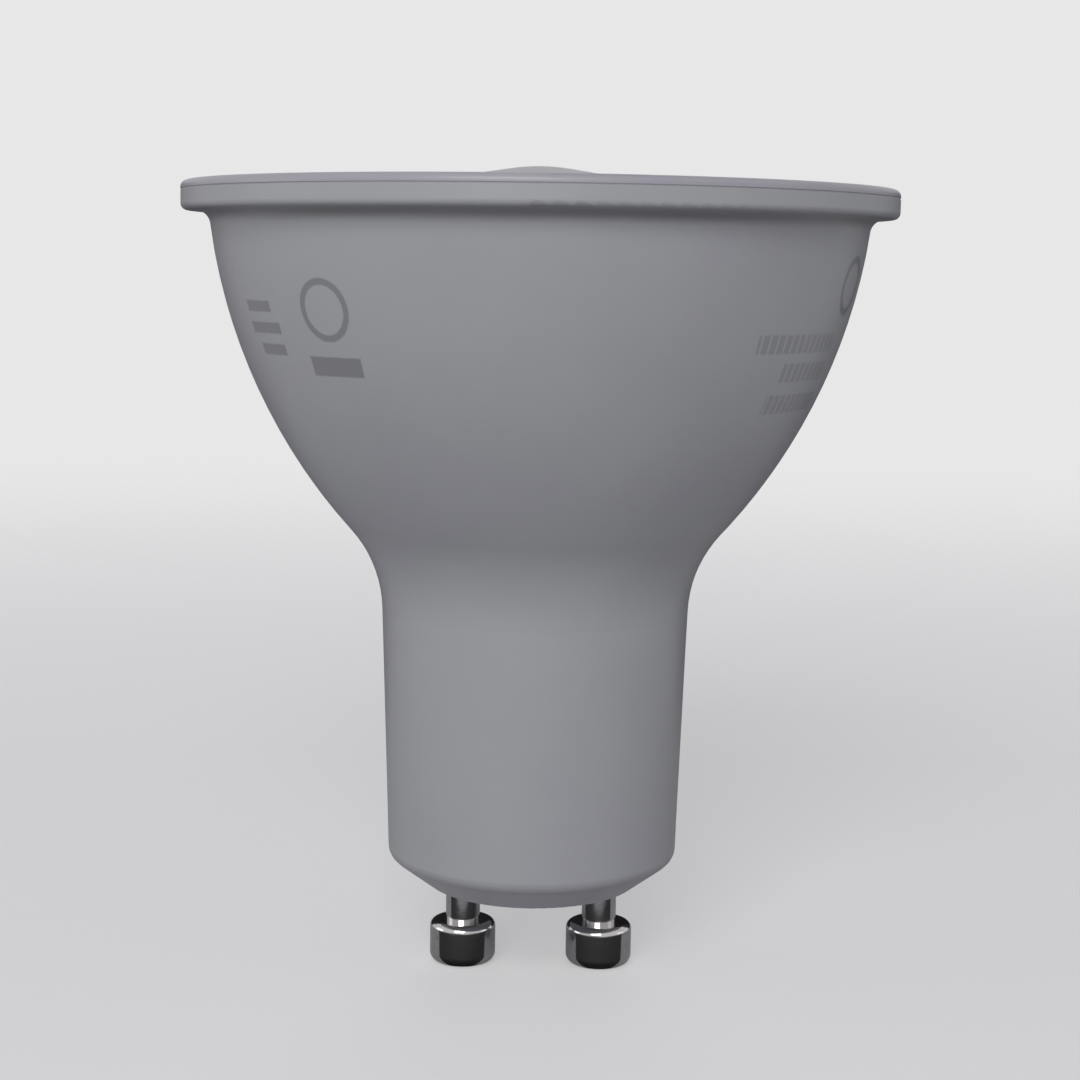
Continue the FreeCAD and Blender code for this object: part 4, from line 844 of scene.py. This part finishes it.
class BULB_OT_build_stage(bpy.types.Operator):
    """Sets the pale floor, the soft lights and the camera at the photograph's angle"""
    bl_idname = "bulb.build_stage"
    bl_label = "Build the Stage"

    def execute(self, context):
        settings = context.scene.bulb_stage
        self.floor(settings)
        self.sky(context.scene, settings)
        self.lights(settings)
        self.cards()
        self.camera(context.scene, settings)
        context.scene.view_settings.view_transform = "Standard"
        return {"FINISHED"}

    def floor(self, settings):
        """A flat disc: rings at growing radii, each point at (r cos a, r sin a)."""
        rings = np.geomspace(0.01, FLOOR_EDGE, 40)
        angles = np.linspace(0, 2 * np.pi, 96, endpoint=False)
        radii, angles = np.meshgrid(rings, angles)
        points = np.stack([
            radii * np.cos(angles), radii * np.sin(angles), np.full_like(radii, FLOOR_HEIGHT)], -1)
        mesh = grid_mesh("studio_floor", points.transpose(1, 0, 2)[::-1], closed_round=True)
        ground = Finish("floor_paint", roughness=0.9, specular_ior_level=0.1)
        tooth = ground.noise(ground.place, 3.0, detail=4.0)
        pale = ground.blend(tooth, settings.floor, [c * 0.985 for c in settings.floor])
        radius, rays = ground.radius(), ground.pale_rays()
        # Painted light and shade: to light that bounces back onto the lamp the floor is darker than
        # it shows, and paler close to the base, under the foot's bevel
        bounce = ground.blend(
            ground.step(radius, *FLOOR_NEAR), settings.near_bounce, settings.bounce)
        ground.feed(base_color=ground.blend(rays, bounce, pale))
        # Far away the floor melts into the background, and from beneath it is clear
        glow = ground.node("Emission", sockets={"Color": settings.floor, "Strength": 1.0})
        far = ground.step(radius, *FLOOR_MELT, start=0.42) * rays
        paint = Wire(ground, ground.shader.outputs[0])
        above = ground.node("MixShader", sockets={0: far, 1: paint, 2: glow})
        beneath = ground.node("NewGeometry", output="Backfacing")
        clear = ground.node("BsdfTransparent")
        ground.surface(ground.node("MixShader", sockets={0: beneath, 1: above, 2: clear}))
        floor = bpy.data.objects.new("studio_floor", mesh)
        mesh.materials.append(ground.material)
        bpy.context.scene.collection.objects.link(floor)

    def sky(self, scene, settings):
        scene.world = bpy.data.worlds.new("studio")
        scene.world.use_nodes = True
        sky = Tree(scene.world.node_tree)
        level = [settings.sky * tone for tone in (0.97, 0.97, 1.06)]
        colour = sky.blend(sky.pale_rays(), level, settings.floor)
        sky.node("OutputWorld", sockets={
            "Surface": sky.node("Background", sockets={"Color": colour, "Strength": 1.0})})

    def lights(self, settings):
        """Four square lamps, each turned round from the front and raised by so many degrees.

        Gloss doesn't show the one behind."""
        for name, power, size, turned, raised in (
            ("key", settings.key_power, 0.34, -9.0, 27.0),
            ("left", settings.side_power, 0.30, -88.0, 8.0),
            ("right", settings.side_power * 0.42, 0.30, 82.0, 6.0),
            ("back", settings.side_power * 3.0, 0.40, 178.0, 14.0),
        ):
            lamp = bpy.data.lights.new(name, "AREA")
            lamp.energy = power
            lamp.size = size
            spot = bpy.data.objects.new(name, lamp)
            turn = Matrix.Rotation(math.radians(turned), 4, "Z")
            lift = Matrix.Rotation(math.radians(90.0 - raised), 4, "X")
            back_off = Matrix.Translation((0.0, 0.0, LAMP_DISTANCE))
            spot.matrix_world = Matrix.Translation(LIT_POINT) @ turn @ lift @ back_off
            spot.visible_glossy = name != "back"
            bpy.context.scene.collection.objects.link(spot)

    def cards(self):
        """Three cards of felt that only gloss shows: painted reflections, dark and grey, that set
        the tones of the pins and the bump.

        A grey one lies under the lamp, a dark one lies on it in front of the pins, and a dark
        one stands behind. Each is a grid of points: a corner, plus shares of the way along,
        plus shares of the way across."""
        dark = self.felt("painted_reflection_dark", (0.013, 0.013, 0.0145))
        grey = self.felt("painted_reflection_grey", (0.42, 0.42, 0.43))
        shares = np.linspace(0.0, 1.0, 5)[:, None]
        for name, felt, corner, across, along in (
            ("under_card", grey, (-70.0, -70.0, FLOOR_HEIGHT + 0.05), (140.0, 0, 0), (0, 140.0, 0)),
            ("front_card", dark, (-45.0, -13.5, FLOOR_HEIGHT + 0.10), (90.0, 0, 0), (0, 11.6, 0)),
            ("back_card", dark, (-90.0, 70.0, FLOOR_HEIGHT), (180.0, 0, 0),
             (0, 0, 62.0 - FLOOR_HEIGHT)),
        ):
            points = (corner + shares * along)[:, None] + (shares * across)[None]
            mesh = grid_mesh(name, points)
            mesh.materials.append(felt.material)
            card = bpy.data.objects.new(name, mesh)
            # Only gloss sees each card, so it paints a reflection and neither shows nor shades
            card.visible_camera = card.visible_diffuse = False
            card.visible_shadow = card.visible_transmission = False
            bpy.context.scene.collection.objects.link(card)

    def felt(self, name, colour):
        """A matt felt of one colour with a little mottling, for the cards of painted reflection."""
        felt = Finish(name, roughness=1.0)
        mottling = felt.noise(felt.place, 2.0)
        darker, paler = ([level * part for part in colour] for level in (0.8, 1.2))
        felt.feed(base_color=felt.blend(mottling, darker, paler))
        return felt

    def camera(self, scene, settings):
        lens = bpy.data.cameras.new("camera")
        lens.sensor_width = 36.0
        lens.lens = settings.lens
        lens.clip_start = 0.005
        camera = bpy.data.objects.new("camera", lens)
        camera.matrix_world = (
            Matrix.Translation(CAMERA_PLACE)
            @ Matrix.Rotation(CAMERA_TURN, 4, "Z")
            @ Matrix.Rotation(math.pi / 2 - CAMERA_DIP, 4, "X")
            @ Matrix.Rotation(CAMERA_ROLL, 4, "Z")
        )
        scene.collection.objects.link(camera)
        scene.camera = camera


class BULB_PT_parts(bpy.types.Panel):
    """Lists the lamp's finishes and its stage"""
    bl_label = "Spotlight Bulb"
    bl_idname = "BULB_PT_parts"
    bl_space_type = "VIEW_3D"
    bl_region_type = "UI"
    bl_category = "Spotlight Bulb"

    def draw(self, context):
        layout = self.layout
        for settings_name, operators in PANEL_ROWS:
            box = layout.box()
            settings = getattr(context.scene, settings_name)
            for name in settings.__annotations__:
                box.prop(settings, name)
            for operator in operators:
                box.operator(operator.bl_idname)


SETTINGS = {
    "bulb_housing": BulbHousingSettings,
    "bulb_cover": BulbCoverSettings,
    "bulb_pins": BulbPinSettings,
    "bulb_inside": BulbInsideSettings,
    "bulb_stage": BulbStageSettings,
}
PANEL_ROWS = (
    ("bulb_housing", (BULB_OT_finish_housing,)),
    ("bulb_cover", (BULB_OT_finish_cover,)),
    ("bulb_pins", (BULB_OT_finish_pins,)),
    ("bulb_inside", (
        BULB_OT_finish_heat_parts, BULB_OT_finish_led_board, BULB_OT_finish_driver_board,
        BULB_OT_finish_driver_parts, BULB_OT_wind_choke,
    )),
    ("bulb_stage", (BULB_OT_build_stage,)),
)
OPERATORS = [operator for _, operators in PANEL_ROWS for operator in operators]
CLASSES = [*SETTINGS.values(), *OPERATORS, BULB_PT_parts]


def register():
    for made in CLASSES:
        bpy.utils.register_class(made)
    for name, made in SETTINGS.items():
        setattr(bpy.types.Scene, name, PointerProperty(type=made))


def unregister():
    for name in SETTINGS:
        delattr(bpy.types.Scene, name)
    for made in reversed(CLASSES):
        bpy.utils.unregister_class(made)


def main():
    register()
    for operator in OPERATORS:
        group, name = operator.bl_idname.split(".")
        getattr(getattr(bpy.ops, group), name)()


if __name__ == "__main__":
    main()
